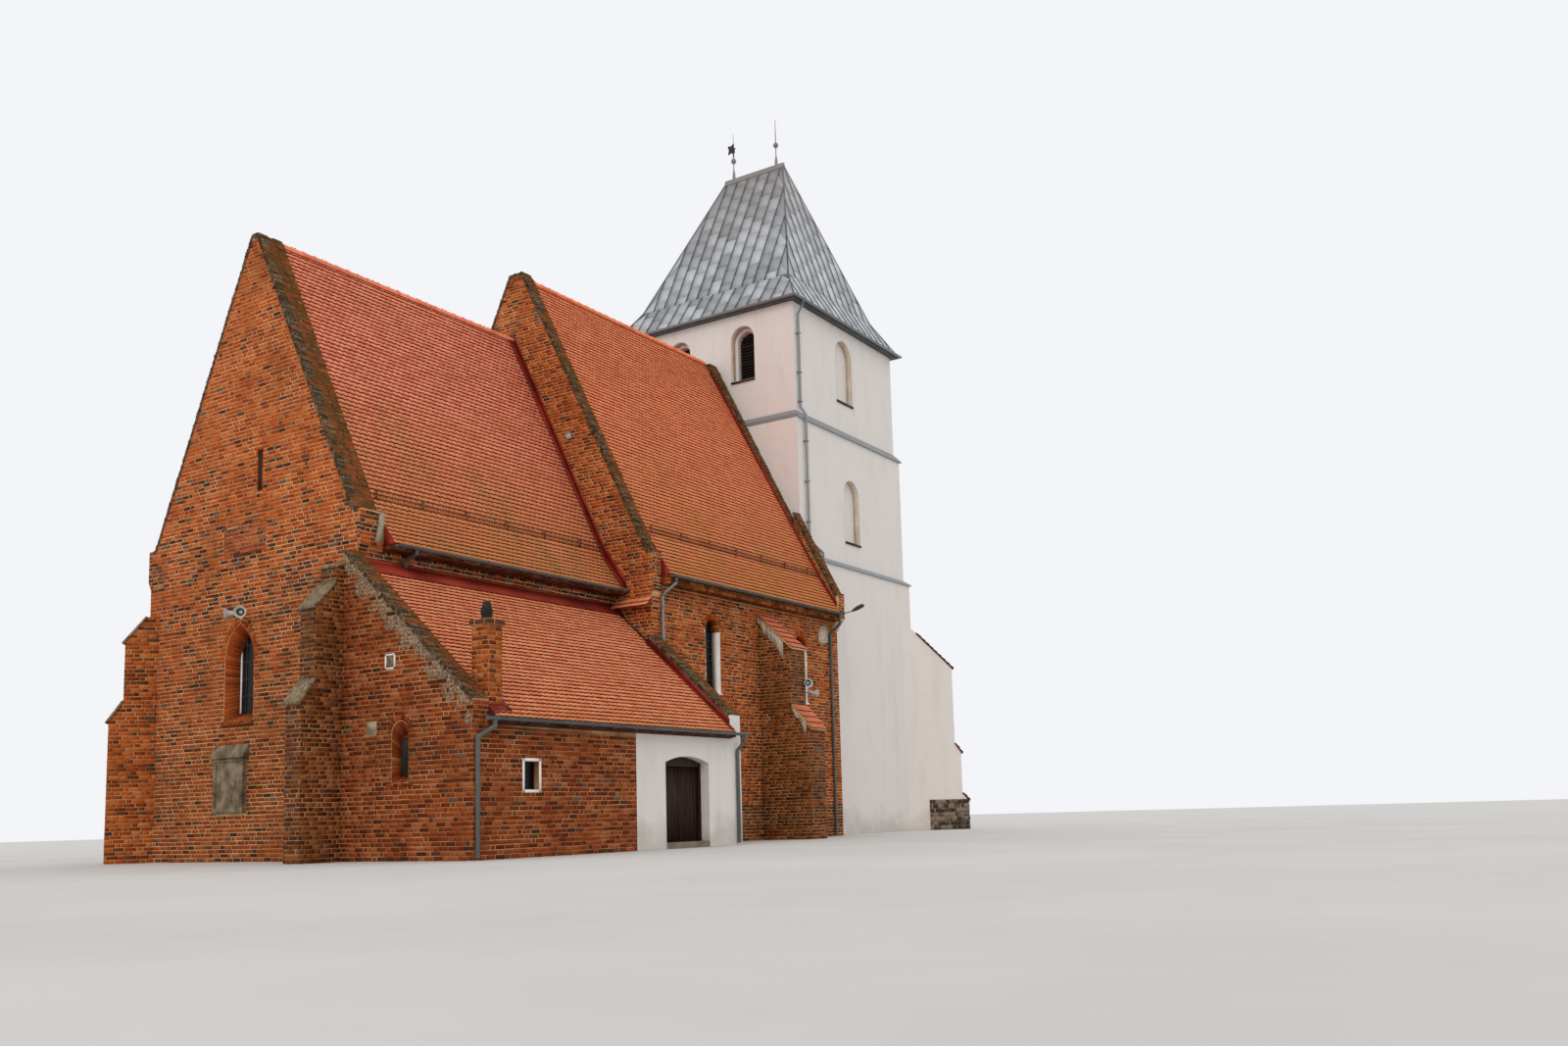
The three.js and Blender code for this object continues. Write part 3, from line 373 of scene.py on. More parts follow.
@dataclass(frozen=True)
class ClayTile(Finish):
    """Pressed and fired beaver-tail roof tile, with yellow-green moss that gathers towards the eaves.

    Attributes:
        shine: The shader's specular level.
        tones: Colour stops over the tiles.
        weathered: Colour of the weathered patches.
        sandy: Colour of the rows towards the eaves.
        moss: The moss's colour.
        moss_top: Level in metres above which there is hardly any moss.
        moss_foot: Level in metres below which most tiles carry moss.
    """

    shine: float = 0.1
    tones: Stops = ()
    weathered: str = "#cc7444"
    sandy: str = "#c67c44"
    moss: str = "#8a7a38"
    moss_top: float = 14.0
    moss_foot: float = 8.0

    def colour(self, tree: Tree, place: Socket) -> Socket:
        """Builds the tile by tile red, its weathering and the moss.

        Args:
            tree: The node tree.
            place: The object's coordinates in metres.

        Returns:
            The colour's socket.
        """
        weather = span(tree, noise(tree, place, 1.3, 5, 0.6), 0.4, 0.7, 0.0, 0.35)
        tiles = mix(tree, weather, piece_tone(tree, self.tones), linear(self.weathered))
        level = level_of(tree, place)
        low = span(tree, level, self.moss_foot, self.moss_top, 0.75, 0.0)
        lower = mix(tree, low, tiles, linear(self.sandy))
        height = span(tree, level, self.moss_foot, self.moss_top, 0.1, -0.1)
        cloud = times(tree, noise(tree, place, 2.2, 4, 0.55, (0.5, 1, 2.0)), height, "ADD")
        patch = span(tree, cloud, 0.5, 0.76, 0.0, 0.6)
        fine = span(tree, noise(tree, place, 0.12, 3, 0.7), 0.3, 0.6, 0.4, 1.0)
        return mix(tree, times(tree, patch, fine), lower, linear(self.moss))

    def relief(self, tree: Tree, place: Socket) -> Socket:
        """Builds slightly sandy faces."""
        return times(tree, noise(tree, place, 0.02, 2, 0.6), 0.004)


@dataclass(frozen=True)
class MossyCoping(Finish):
    """Old brick on edge under dry moss and lichen: olive brown with pale lichen and some bare red.

    Attributes:
        shine: The shader's specular level.
        brick: The bare brick's colour.
        moss: The moss's colour.
        lichen: The pale lichen's colour.
    """

    shine: float = 0.05
    brick: str = "#8f4d2a"
    moss: str = "#684422"
    lichen: str = "#a47e58"

    def colour(self, tree: Tree, place: Socket) -> Socket:
        """Builds bare brick, moss and lichen.

        Args:
            tree: The node tree.
            place: The object's coordinates in metres.

        Returns:
            The colour's socket.
        """
        tone = span(tree, per_piece(tree), 0, 1, -0.12, 0.12)
        cloud = times(tree, noise(tree, place, 0.5, 5, 0.65), tone, "ADD")
        mossy = mix(tree, span(tree, cloud, 0.36, 0.5), linear(self.brick), linear(self.moss))
        spots = span(tree, times(tree, noise(tree, place, 0.11, 3, 0.7), tone, "ADD"), 0.6, 0.74, 0.0, 0.6)
        return mix(tree, spots, mossy, linear(self.lichen))

    def relief(self, tree: Tree, place: Socket) -> Socket:
        """Builds tufts."""
        return times(tree, noise(tree, place, 0.06, 4, 0.7), 0.03)


@dataclass(frozen=True)
class LimeRender(Finish):
    """Trowelled and limewashed render: nearly white, with grey rain streaks and damp near the ground.

    Attributes:
        shine: The shader's specular level.
        light: The clean render's colour.
        stained: The streaks' colour.
        damp: The colour near the ground.
    """

    shine: float = 0.3
    light: str = "#e0dad5"
    stained: str = "#c6bcb3"
    damp: str = "#9a8f82"

    def colour(self, tree: Tree, place: Socket) -> Socket:
        """Builds the clean wash, its streaks and the damp.

        Args:
            tree: The node tree.
            place: The object's coordinates in metres.

        Returns:
            The colour's socket.
        """
        streak = span(tree, noise(tree, place, 0.5, 5, 0.6, (1, 1, 5)), 0.5, 0.75, 0.0, 0.3)
        washed = mix(tree, streak, linear(self.light), linear(self.stained))
        wander = span(tree, noise(tree, place, 0.9, 5, 0.6), 0.3, 0.7, -0.5, 0.5)
        rise = times(tree, wander, level_of(tree, place), "ADD")
        return mix(tree, span(tree, rise, 0.1, 0.9, 0.4, 0.0), washed, linear(self.damp))

    def relief(self, tree: Tree, place: Socket) -> Socket:
        """Builds hand-trowelled unevenness and sand."""
        wide = times(tree, noise(tree, place, 0.35, 2, 0.5), 0.02)
        return times(tree, times(tree, noise(tree, place, 0.02, 3, 0.6), 0.003), wide, "ADD")


@dataclass(frozen=True)
class ZincSheet(Finish):
    """Rolled sheet metal, weathered: every sheet has dulled to its own grey.

    Attributes:
        tones: Colour stops over the sheets.
        cloud: Colour of the duller clouds over them.
        brown: Colour of the browner sheets higher up.
        brown_from: Level in metres where the sheets start to turn brown.
        brown_to: Level in metres where they are brownest.
    """

    tones: Stops = ((0.0, "#8e9194"), (0.5, "#a9adb1"), (1.0, "#c3c7cb"))
    cloud: str = "#9b9fa2"
    brown: str = "#8d8580"
    brown_from: float = 23.0
    brown_to: float = 27.5

    def colour(self, tree: Tree, place: Socket) -> Socket:
        """Builds the sheet by sheet grey, browner higher up.

        Args:
            tree: The node tree.
            place: The object's coordinates in metres.

        Returns:
            The colour's socket.
        """
        cloud = span(tree, noise(tree, place, 0.9, 5, 0.65, (1, 1, 2)), 0.4, 0.7, 0.0, 0.2)
        clouded = mix(tree, cloud, piece_tone(tree, self.tones), linear(self.cloud))
        brown = span(tree, level_of(tree, place), self.brown_from, self.brown_to, 0.0, 0.7)
        return mix(tree, brown, clouded, linear(self.brown))

    def relief(self, tree: Tree, place: Socket) -> Socket:
        """Builds the slight oil-canning of thin sheet."""
        return times(tree, noise(tree, place, 0.4, 2, 0.5), 0.004)


BRICK_TONES = ((0.0, "#8d3917"), (0.2, "#aa4b1b"), (0.5, "#bb5721"), (0.8, "#c46127"), (0.94, "#ca713c"),
               (1.0, "#974923"))
WALL_TONES = ((0.0, "#733011"), (0.25, "#934216"), (0.55, "#a84e1d"), (0.85, "#b95e25"), (1.0, "#c0723c"))
DAMP_TONES = ((0.0, "#542910"), (0.35, "#713b16"), (0.7, "#86471f"), (1.0, "#9b5f35"))
SOOTY_TONES = ((0.0, "#5a2510"), (0.25, "#773114"), (0.55, "#8b3e1a"), (0.85, "#9b4b23"), (1.0, "#a46139"))
BURNT_TONES = ((0.0, "#452519"), (0.45, "#5c321f"), (0.8, "#6b4029"), (1.0, "#6f5a4b"))
TILE_TONES = ((0.0, "#e3785b"), (0.35, "#f58c6d"), (0.75, "#ff9a79"), (1.0, "#ea8361"))
NAVE_TONES = ((0.0, "#e87850"), (0.35, "#fa8c60"), (0.75, "#ff986a"), (1.0, "#f08355"))
SACRISTY_TONES = ((0.0, "#da774f"), (0.35, "#e88a5d"), (0.75, "#f0996d"), (1.0, "#de8155"))
PIER_TONES = ((0.0, "#c4674a"), (0.5, "#d67c5c"), (1.0, "#cb7050"))
LIT_ZINC_TONES = ((0.0, "#abaeb2"), (0.5, "#bec2c6"), (1.0, "#d0d4d8"))
ALGAE = "#3f3019"


class Surface(Enum):
    """Every finish on the church, by what it is made of."""

    # Hand-moulded brick: warm orange reds that differ from brick to brick
    BRICK = FiredBrick("fired_clay_brick", 0.92, tones=BRICK_TONES, foot=0.4)
    # The nave's brick: darker and sootier
    WALL_BRICK = FiredBrick("weathered_wall_brick", 0.94, tones=WALL_TONES, stain_amount=0.35)
    # The sacristy's brick, red brown below the trees
    SOOTY_BRICK = FiredBrick("sooty_sacristy_brick", 0.95, tones=SOOTY_TONES, stain=ALGAE, stain_amount=0.35)
    # Bricks burnt harder at the kiln's mouth: dark, slightly shiny purple browns; also laid almost throughout
    # as painted shade under the chancel's eaves, on its north strip and on buttress fronts
    BURNT_AND_SHADE_BRICK = FiredBrick("burnt_brick_and_painted_shade", 0.7, tones=BURNT_TONES, stain_amount=0.15)
    # Brick of the low buttresses, browner with algae; also laid almost throughout under the nave's eaves as
    # painted shade
    ALGAE_AND_SHADE_BRICK = FiredBrick("algae_brick_and_painted_shade", 0.95, tones=DAMP_TONES, stain=ALGAE, stain_amount=0.5)
    # The sacristy's east wall: the same brick below a ragged strip of grey mortar
    WASHED_BRICK = WashedBrick("mortar_smeared_brick", 0.95, tones=SOOTY_TONES, stain=ALGAE,
                               stain_amount=0.35)
    # Lime mortar: pale sandy joints, lighter than the bricks
    MORTAR = Clouded("lime_mortar", 0.95, light="#dfb587", dark="#b0835a", size=0.9, grain=0.02)
    # The same joints on the sooty walls below the trees: darker
    SOOTY_MORTAR = Clouded("sooty_lime_mortar", 0.95, light="#bf9468", dark="#855c3c", size=0.9, grain=0.02)
    # Mortar smeared over the wall heads, grey with lichen
    WASH = Clouded("weathered_mortar_wash", 0.97, light="#a59580", dark="#57432f", size=0.16, depth=0.012,
                   grain=0.05, pieces=0.35)
    # Lichen on the rough ends of the coping bricks: grey white and nearly black side by side
    COPING_END = Clouded("lichen_on_coping_ends", 0.97, light="#937f5f", dark="#38281a", size=0.025,
                         depth=0.01, low=0.5, high=0.64, pieces=0.14)
    # Mortar smeared below the buttress tiles, grey white and speckled
    SMEAR = Clouded("smeared_tile_bedding", 0.97, light="#ddd2be", dark="#96836a", size=0.05, depth=0.01,
                    pieces=0.2)
    # Painted shade and soot: the strip of each tile just below the row above, and the tiles' edges
    TILE_SOOT_AND_SHADE = Clouded("tile_soot_and_painted_shade", 0.9, light="#7c3a24", dark="#5a2616", depth=0.001)
    # Cast weathering slabs: olive grey with lichen specks
    SLAB = Clouded("lichened_weathering_slab", 0.95, light="#9d8c72", dark="#6a5a42", size=0.12, depth=0.008)
    # Bricks on edge along the gables: tufts of olive-brown moss and pale lichen
    COPING = MossyCoping("moss_on_coping_brick", 0.97)
    # The chancel's plain tiles: orange red with moss
    CHANCEL_TILE = ClayTile("clay_tile_chancel", 0.8, tones=TILE_TONES, moss_top=12.5, moss_foot=7.5)
    # The nave's plain tiles: a stronger red, with sandy yellow moss
    NAVE_TILE = ClayTile("clay_tile_nave", 0.8, tones=NAVE_TONES, moss="#b5813a", moss_top=13.5,
                         moss_foot=7.5)
    # The lean-to's plain tiles: even orange red
    SACRISTY_TILE = ClayTile("clay_tile_sacristy", 0.8, tones=SACRISTY_TONES, moss_top=3.5, moss_foot=2.6)
    # Pinkish tiles bedded on the buttresses, free of moss
    PIER_TILE = ClayTile("clay_tile_buttress", 0.8, tones=PIER_TONES, moss_top=0.4, moss_foot=0.2)
    # Painted shade on the battens and torching seen between the tiles: nearly black brown
    TILE_BED_SHADE = Clouded("roof_batten_shadow", 0.95, light="#5a2e1c", dark="#36190f", size=0.4)
    # Limewashed render of tower and porch: warm white, streaked by rain
    RENDER = LimeRender("limewashed_render", 0.92)
    # Render inside the tower's niches and belfry openings: warmer, and a little darker as painted shade in
    # the recesses
    NICHE_SHADE = Clouded("niche_render_and_painted_shade", 0.92, light="#d8cbbb", dark="#c4b4a2", size=0.4, depth=0.002)
    # Plain white lime plaster in the window reveals
    REVEAL = Clouded("white_reveal_plaster", 0.9, light="#fbf8f4", dark="#ece6df", depth=0.002)
    # Sheets of the tower roof's east and west slopes: mid grey, patchy
    ROOF_ZINC = ZincSheet("weathered_zinc_sheet", 0.5, 0.3)
    # Sheets of its north and south slopes, given brighter tones: painted light
    LIT_ZINC = ZincSheet("zinc_sheet_painted_light", 0.5, 0.3, tones=LIT_ZINC_TONES)
    # Folded seams hold dirt: dark grey lines
    SEAM_ZINC = ZincSheet("dark_folded_seam", 0.6, 0.3, tones=((0.0, "#3e4143"), (1.0, "#505355")))
    # Folded gutters and pipes: one dull mid grey
    GUTTER_ZINC = ZincSheet("gutter_zinc", 0.5, 0.4, tones=((0.0, "#77797b"), (1.0, "#8b8e90")))
    # Eaves gutters: nearly black grey, painted shade of the eaves
    EAVES_ZINC = ZincSheet("eaves_gutter_painted_shade", 0.6, 0.2, tones=((0.0, "#434542"), (1.0, "#565955")))
    # Lead-grey covering of the tower's offsets
    OFFSET_ZINC = ZincSheet("offset_zinc", 0.5, 0.3, tones=((0.0, "#83868a"), (1.0, "#969a9d")))
    # Brown painted sheet on the tower's sills
    SILL = Clouded("brown_sill_sheet", 0.6, light="#4a362d", dark="#33251f", size=0.3, depth=0.001)
    # Factory-painted steel flashing: dark oxide red with a soft gloss
    RED_SHEET = Clouded("oxide_red_painted_sheet", 0.45, light="#8f2719", dark="#6a1a11", size=0.8,
                        depth=0.001)
    # The same sheet on the lean-to, chalked to orange by the sun
    CHALKED_SHEET = Clouded("chalked_red_sheet", 0.6, light="#a83c26", dark="#7a2318", size=1.6, depth=0.001)
    # Clay-red painted steel bars of the snow guards
    GUARD = Clouded("red_painted_snow_guard", 0.6, light="#7a4a34", dark="#573226", size=0.3, depth=0.001)
    # Stained door boards: nearly black brown with upright grain
    DOOR = Clouded("stained_door_board", 0.55, light="#3c2217", dark="#21120c", size=0.06, stretch=(1, 1, 12),
                   grain=0.015)
    # Louvre slats, weathered to a dark grey brown with grain along them
    SLAT = Clouded("weathered_louvre_slat", 0.8, light="#3a302a", dark="#1e1815", size=0.2, stretch=(1, 8, 1))
    # Small leaded panes seen against a dark room: almost black, glossy, uneven from pane to pane
    GLASS = Clouded("leaded_window_glass", 0.25, 0.0, 0.15, light="#15181a", dark="#08090a", grain=0.2,
                    depth=0.004)
    # Lead cames: dull dark grey lines over the panes; the same grey paints the shade deep in the horns'
    # throats
    LEAD_AND_SHADE = Clouded("lead_came_and_painted_shade", 0.7, light="#4b4d4e", dark="#333638", size=0.2, depth=0.001)
    # Forged iron with a thin coat of black: vane, brackets and handle
    IRON = Clouded("forged_iron", 0.6, 0.6, 0.5, light="#45474a", dark="#2b2c2e", size=0.1, depth=0.002)
    # Split fieldstones: grey, brown and pinkish lumps
    FIELDSTONE = Clouded("split_fieldstone", 0.9, light="#8a7a68", dark="#42352c", size=0.25, depth=0.02,
                         grain=0.08, pieces=0.5)
    # Weathered sandstone of the tablet: blotchy brown grey
    SANDSTONE = Clouded("weathered_sandstone", 0.93, light="#8f8068", dark="#5b4c3b", size=0.3, depth=0.012,
                        grain=0.05)
    # Pale limestone let into the brickwork: light grey brown
    PALE_STONE = Clouded("pale_limestone", 0.9, light="#b3a48e", dark="#8b7a66", size=0.2, depth=0.006)
    # Floor slabs and threshold: worn grey
    FLAGSTONE = Clouded("worn_floor_stone", 0.8, light="#8e8474", dark="#6f6659", size=0.8)
    # Moulded polyester horn, sun-greyed white
    HORN = Clouded("moulded_white_horn", 0.5, light="#c9c7c2", dark="#a9a7a1", size=0.2, depth=0.0005)
    # Soot on the chimney's pot, and painted shade on the panes deep in the dark slits: nearly black
    SOOT_AND_SHADE = Clouded("pot_soot_and_painted_shade", 0.85, light="#35302d", dark="#1d1a19", size=0.2, depth=0.004)
    # The studio's floor: plain pale grey
    FLOOR = Clouded("studio_floor", 0.85, light="#d3d1cd", dark="#cccac6", size=6.0, depth=0.0005)


def dress(item: bpy.types.Object, *surfaces: Surface) -> None:
    """Gives an object its finishes.

    Args:
        item: The object.
        surfaces: Its finishes, in the order of its material slots.
    """
    item.data.materials.clear()
    for surface in surfaces:
        item.data.materials.append(surface.value.material())


def dress_nodes(surface: Surface, *names: str) -> None:
    """Gives one finish to these CAD nodes."""
    for name in names:
        dress(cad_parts[name], surface)


# Shapes


def rect(s0: float, s1: float, t0: float, t1: float) -> Outline:
    """Returns the outline of a rectangle between these values of s and t."""
    return [(s0, t0), (s1, t0), (s1, t1), (s0, t1)]


class Heap:
    """Gathers the faces of one piece, in metres from the chancel's east face and axis."""

    def __init__(self) -> None:
        """Starts empty."""
        self.points: list[np.ndarray] = []
        self.loops: list[np.ndarray] = []
        self.totals: list[int] = []
        self.slots: list[int] = []
        self.count = 0

    def add(self, points: np.ndarray, faces: Sequence[Sequence[int]], slot: int = 0) -> None:
        """Adds points and the faces between them.

        Args:
            points: One row of x, y, z each.
            faces: Indices into these points.
            slot: The faces' material slot.
        """
        self.points.append(np.asarray(points, float).reshape(-1, 3))
        for one in faces:
            self.loops.append(np.asarray(one, np.int32) + self.count)
            self.totals.append(len(one))
            self.slots.append(slot)
        self.count += len(self.points[-1])

    def slab(self, front: np.ndarray, back: np.ndarray, slot: int = 0, closed: bool = False) -> None:
        """Adds a flat piece by its front polygon and the same polygon further back.

        Args:
            front: The front's corners, counter-clockwise as seen from outside.
            back: The matching corners behind them.
            slot: The faces' material slot.
            closed: Whether the back gets a face too.
        """
        n = len(front)
        faces = [list(range(n))]
        faces += [[i, n + i, n + (i + 1) % n, (i + 1) % n] for i in range(n)]
        if closed:
            faces.append(list(range(2 * n - 1, n - 1, -1)))
        self.add(np.concatenate([front, back]), faces, slot)

    def capped(self, front: np.ndarray, back: np.ndarray, top: int = 0) -> None:
        """Adds a flat piece whose front and sides are apart, so that each takes its own tone.

        Args:
            front: The front's corners.
            back: The matching corners behind them.
            top: The front's material slot; the sides take slot 1.
        """
        n = len(front)
        points = np.concatenate([front, back])
        self.add(points, [list(range(n))], top)
        self.add(points, [[i, n + i, n + (i + 1) % n, (i + 1) % n] for i in range(n)], 1)

    def box(self, x0: float, x1: float, y0: float, y1: float, z0: float, z1: float, slot: int = 0) -> None:
        """Adds a closed block.

        Args:
            x0: Its east side.
            x1: Its west side.
            y0: Its north side.
            y1: Its south side.
            z0: Its underside.
            z1: Its top.
            slot: The faces' material slot.
        """
        top = np.array([(x0, y0, z1), (x1, y0, z1), (x1, y1, z1), (x0, y1, z1)], float)
        low = top.copy()
        low[:, 2] = z0
        self.slab(top, low, slot, closed=True)

    def bar(self, a: Sequence[float], b: Sequence[float], width: float, height: float, slot: int = 0,
            up: Sequence[float] = (0, 0, 1)) -> None:
        """Adds a square-edged bar from a to b.

        Args:
            a: Middle of one end.
            b: Middle of the other end.
            width: Size across the bar and across up.
            height: Size towards up.
            slot: The faces' material slot.
            up: The direction of the height.
        """
        a, b = np.asarray(a, float), np.asarray(b, float)
        along = (b - a) / np.linalg.norm(b - a)
        side = np.cross(along, up)
        side /= np.linalg.norm(side)
        top = np.cross(side, along)
        offsets = rect(-1, 1, -1, 1)
        ring = np.array([side * s * width / 2 + top * t * height / 2 for s, t in offsets])
        self.slab(ring + b, ring + a, slot, closed=True)

    def tube(self, points: Sequence[Sequence[float]], radii: Sequence[float], sides: int = 10,
             slot: int = 0, closed: bool = True) -> None:
        """Adds a round form through points, with a radius at each.

        Args:
            points: The middle line.
            radii: The radius at each point.
            sides: Number of flat sides.
            slot: The faces' material slot.
            closed: Whether its far end gets a face.
        """
        line = np.asarray(points, float)
        rings = []
        for i, middle in enumerate(line):
            way = line[min(i + 1, len(line) - 1)] - line[max(i - 1, 0)]
            way /= np.linalg.norm(way)
            helper = (0, 0, 1) if abs(way[2]) < 0.9 else (1, 0, 0)
            side = np.cross(way, helper)
            side /= np.linalg.norm(side)
            other = np.cross(way, side)
            angles = np.linspace(0, 2 * math.pi, sides, endpoint=False)
            ring = np.outer(np.cos(angles), side) + np.outer(np.sin(angles), other)
            rings.append(middle + radii[i] * ring)
        faces = []
        for i in range(len(rings) - 1):
            for k in range(sides):
                a, b = i * sides + k, i * sides + (k + 1) % sides
                faces.append([a, b, b + sides, a + sides])
        faces.append(list(range(sides))[::-1])
        if closed:
            faces.append([len(rings) * sides - sides + k for k in range(sides)])
        self.add(np.concatenate(rings), faces, slot)

    def piece(self, name: str, surfaces: Sequence[Surface], slot: str, body: str = BUILDING,
              smooth: float | None = None) -> bpy.types.Object:
        """Makes the object and lets it ride.

        Args:
            name: The piece's name.
            surfaces: Its finishes, in the order of the faces' slots.
            slot: The record's material slot for this piece; not used.
            body: The body it rides on.
            smooth: Angle in degrees below which edges are shaded smooth.

        Returns:
            The new object.
        """
        mesh = bpy.data.meshes.new(name)
        points = np.concatenate(self.points) + (EAST_FACE, CHURCH_AXIS, 0.0)
        loops = np.concatenate(self.loops)
        starts = np.concatenate([[0], np.cumsum(self.totals)[:-1]])
        mesh.vertices.add(len(points))
        mesh.vertices.foreach_set("co", points.ravel())
        mesh.loops.add(len(loops))
        mesh.loops.foreach_set("vertex_index", loops)
        mesh.polygons.add(len(starts))
        mesh.polygons.foreach_set("loop_start", starts)
        mesh.update(calc_edges=True)
        item = bpy.data.objects.new(name, mesh)
        bpy.context.scene.collection.objects.link(item)
        dress(item, *surfaces)
        mesh.polygons.foreach_set("material_index", np.asarray(self.slots, np.int32))
        mesh.validate()
        if smooth is not None:
            mesh.shade_smooth()
            mesh.set_sharp_from_angle(angle=math.radians(smooth))
        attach(item, body)
        log.info("%s: %d triangles", name, sum(n - 2 for n in self.totals))
        return item


@dataclass(frozen=True)
class Face:
    """A flat face of the building: s runs along it, t up it, and out points away from it.

    Attributes:
        origin: The point where s and t are 0.
        along: Direction of s.
        up: Direction of t.
        out: Outward direction.
    """

    origin: Point3
    along: Point3
    up: Point3
    out: Point3

    @classmethod
    def east(cls, x: float) -> "Face":
        """Returns a face that looks east, with s as y and t as z."""
        return cls((x, 0, 0), (0, 1, 0), (0, 0, 1), (-1, 0, 0))

    @classmethod
    def west(cls, x: float) -> "Face":
        """Returns a face that looks west, with s as y and t as z."""
        return cls((x, 0, 0), (0, 1, 0), (0, 0, 1), (1, 0, 0))

    @classmethod
    def north(cls, y: float) -> "Face":
        """Returns a face that looks north, with s as x and t as z."""
        return cls((0, y, 0), (1, 0, 0), (0, 0, 1), (0, -1, 0))

    @classmethod
    def south(cls, y: float) -> "Face":
        """Returns a face that looks south, with s as x and t as z."""
        return cls((0, y, 0), (1, 0, 0), (0, 0, 1), (0, 1, 0))

    @classmethod
    def side(cls, y: float, way: float) -> "Face":
        """Returns a face that looks north where way is negative, and south where it is positive."""
        return cls.north(y) if way < 0 else cls.south(y)

    @classmethod
    def sloped(cls, foot: Sequence[float], head: Sequence[float], along: Sequence[float]) -> "Face":
        """Makes a sloping face.

        Args:
            foot: Its lower corner, where s and t are 0.
            head: The corner straight above the foot.
            along: Direction of its lower edge.

        Returns:
            The face, with s along its lower edge and t up the slope.
        """
        rise = np.asarray(head, float) - np.asarray(foot, float)
        rise /= np.linalg.norm(rise)
        side = np.asarray(along, float) / np.linalg.norm(along)
        out = np.cross(side, rise)
        if out[2] < 0:
            out = -out
        return cls(tuple(foot), tuple(side), tuple(rise), tuple(out))

    def turned(self) -> "Face":
        """Returns the same face with s and t swapped."""
        return Face(self.origin, self.up, self.along, self.out)

    def place(self, corners: Sequence[Point2], out: float) -> np.ndarray:
        """Places corners given as s and t, at a distance out from the face, wound to face outward.

        Args:
            corners: The corners as s and t.
            out: How far the corners stand out from the face.

        Returns:
            The corners as x, y and z.
        """
        flat = np.asarray(corners, float)
        made = (np.asarray(self.origin) + np.outer(flat[:, 0], self.along) + np.outer(flat[:, 1], self.up)
                + np.asarray(self.out) * out)
        area = np.sum(flat[:, 0] * np.roll(flat[:, 1], -1) - np.roll(flat[:, 0], -1) * flat[:, 1])
        handed = np.dot(np.cross(self.along, self.up), self.out)
        return made if area * handed > 0 else made[::-1]

    def plate(self, heap: Heap, corners: Sequence[Point2], out: float, thick: float, slot: int = 0) -> None:
        """Adds a flat plate on this face.

        Args:
            heap: Where the plate goes.
            corners: Its corners as s and t.
            out: How far its front stands out.
            thick: Its thickness.
            slot: The faces' material slot.
        """
        heap.slab(self.place(corners, out), self.place(corners, out - thick), slot, closed=True)


@dataclass(frozen=True)
class Bond:
    """How bricks, stones or sheets are laid in rows.

    Attributes:
        course: Height of a row with its joint.
        joint: Width of the joints.
        lengths: The lengths that repeat along a row, with their joints.
        shift: How far each row is moved against the one below.
        proud: How far the pieces stand out of the wall.
        rough: How much their faces vary in depth.
        wander: How much their ends wander.
        odd: Share of pieces that take the second finish.
        bands: Levels and the share of odd pieces there, instead of one share for all.
    """

    course: float = 0.10
    joint: float = 0.017
    lengths: tuple[float, ...] = (0.285, 0.285, 0.145)
    shift: float = 0.2145
    proud: float = 0.003
    rough: float = 0.004
    wander: float = 0.012
    odd: float = 0.07
    bands: tuple[Point2, ...] = ()

    def share(self, level: float) -> float:
        """Returns the share of odd pieces at a level."""
        return float(np.interp(level, *zip(*self.bands))) if self.bands else self.odd


# Added pieces reach this far into the solid behind them
SUNK = 0.002
# Rows lower than this and pieces shorter than this are left out
LOWEST = 0.02
SHORTEST = 0.025
# Half the joint between the bricks of an arch
ARCH_JOINT = 0.006
# How far a reveal's bricks stand into the opening, at the wall's face and at the back, and how far behind it
MOUTH_PROUD = 0.034
BACK_PROUD = 0.018
BEHIND = 0.02
# The order of two corners in front and two behind that goes round
RING = [0, 1, 3, 2]


def crossings(outlines: Sequence[Outline], level: float) -> list[Point2]:
    """Finds where a level runs inside outlines; an outline inside another is a hole.

    Args:
        outlines: Closed outlines as s and t.
        level: The t that is looked at.

    Returns:
        The stretches of s inside, in order.
    """
    cuts: list[float] = []
    for outline in outlines:
        for (s0, t0), (s1, t1) in zip(outline, [*outline[1:], outline[0]]):
            if (t0 <= level) != (t1 <= level):
                cuts.append(s0 + (s1 - s0) * (level - t0) / (t1 - t0))
    cuts.sort()
    return list(zip(cuts[::2], cuts[1::2]))


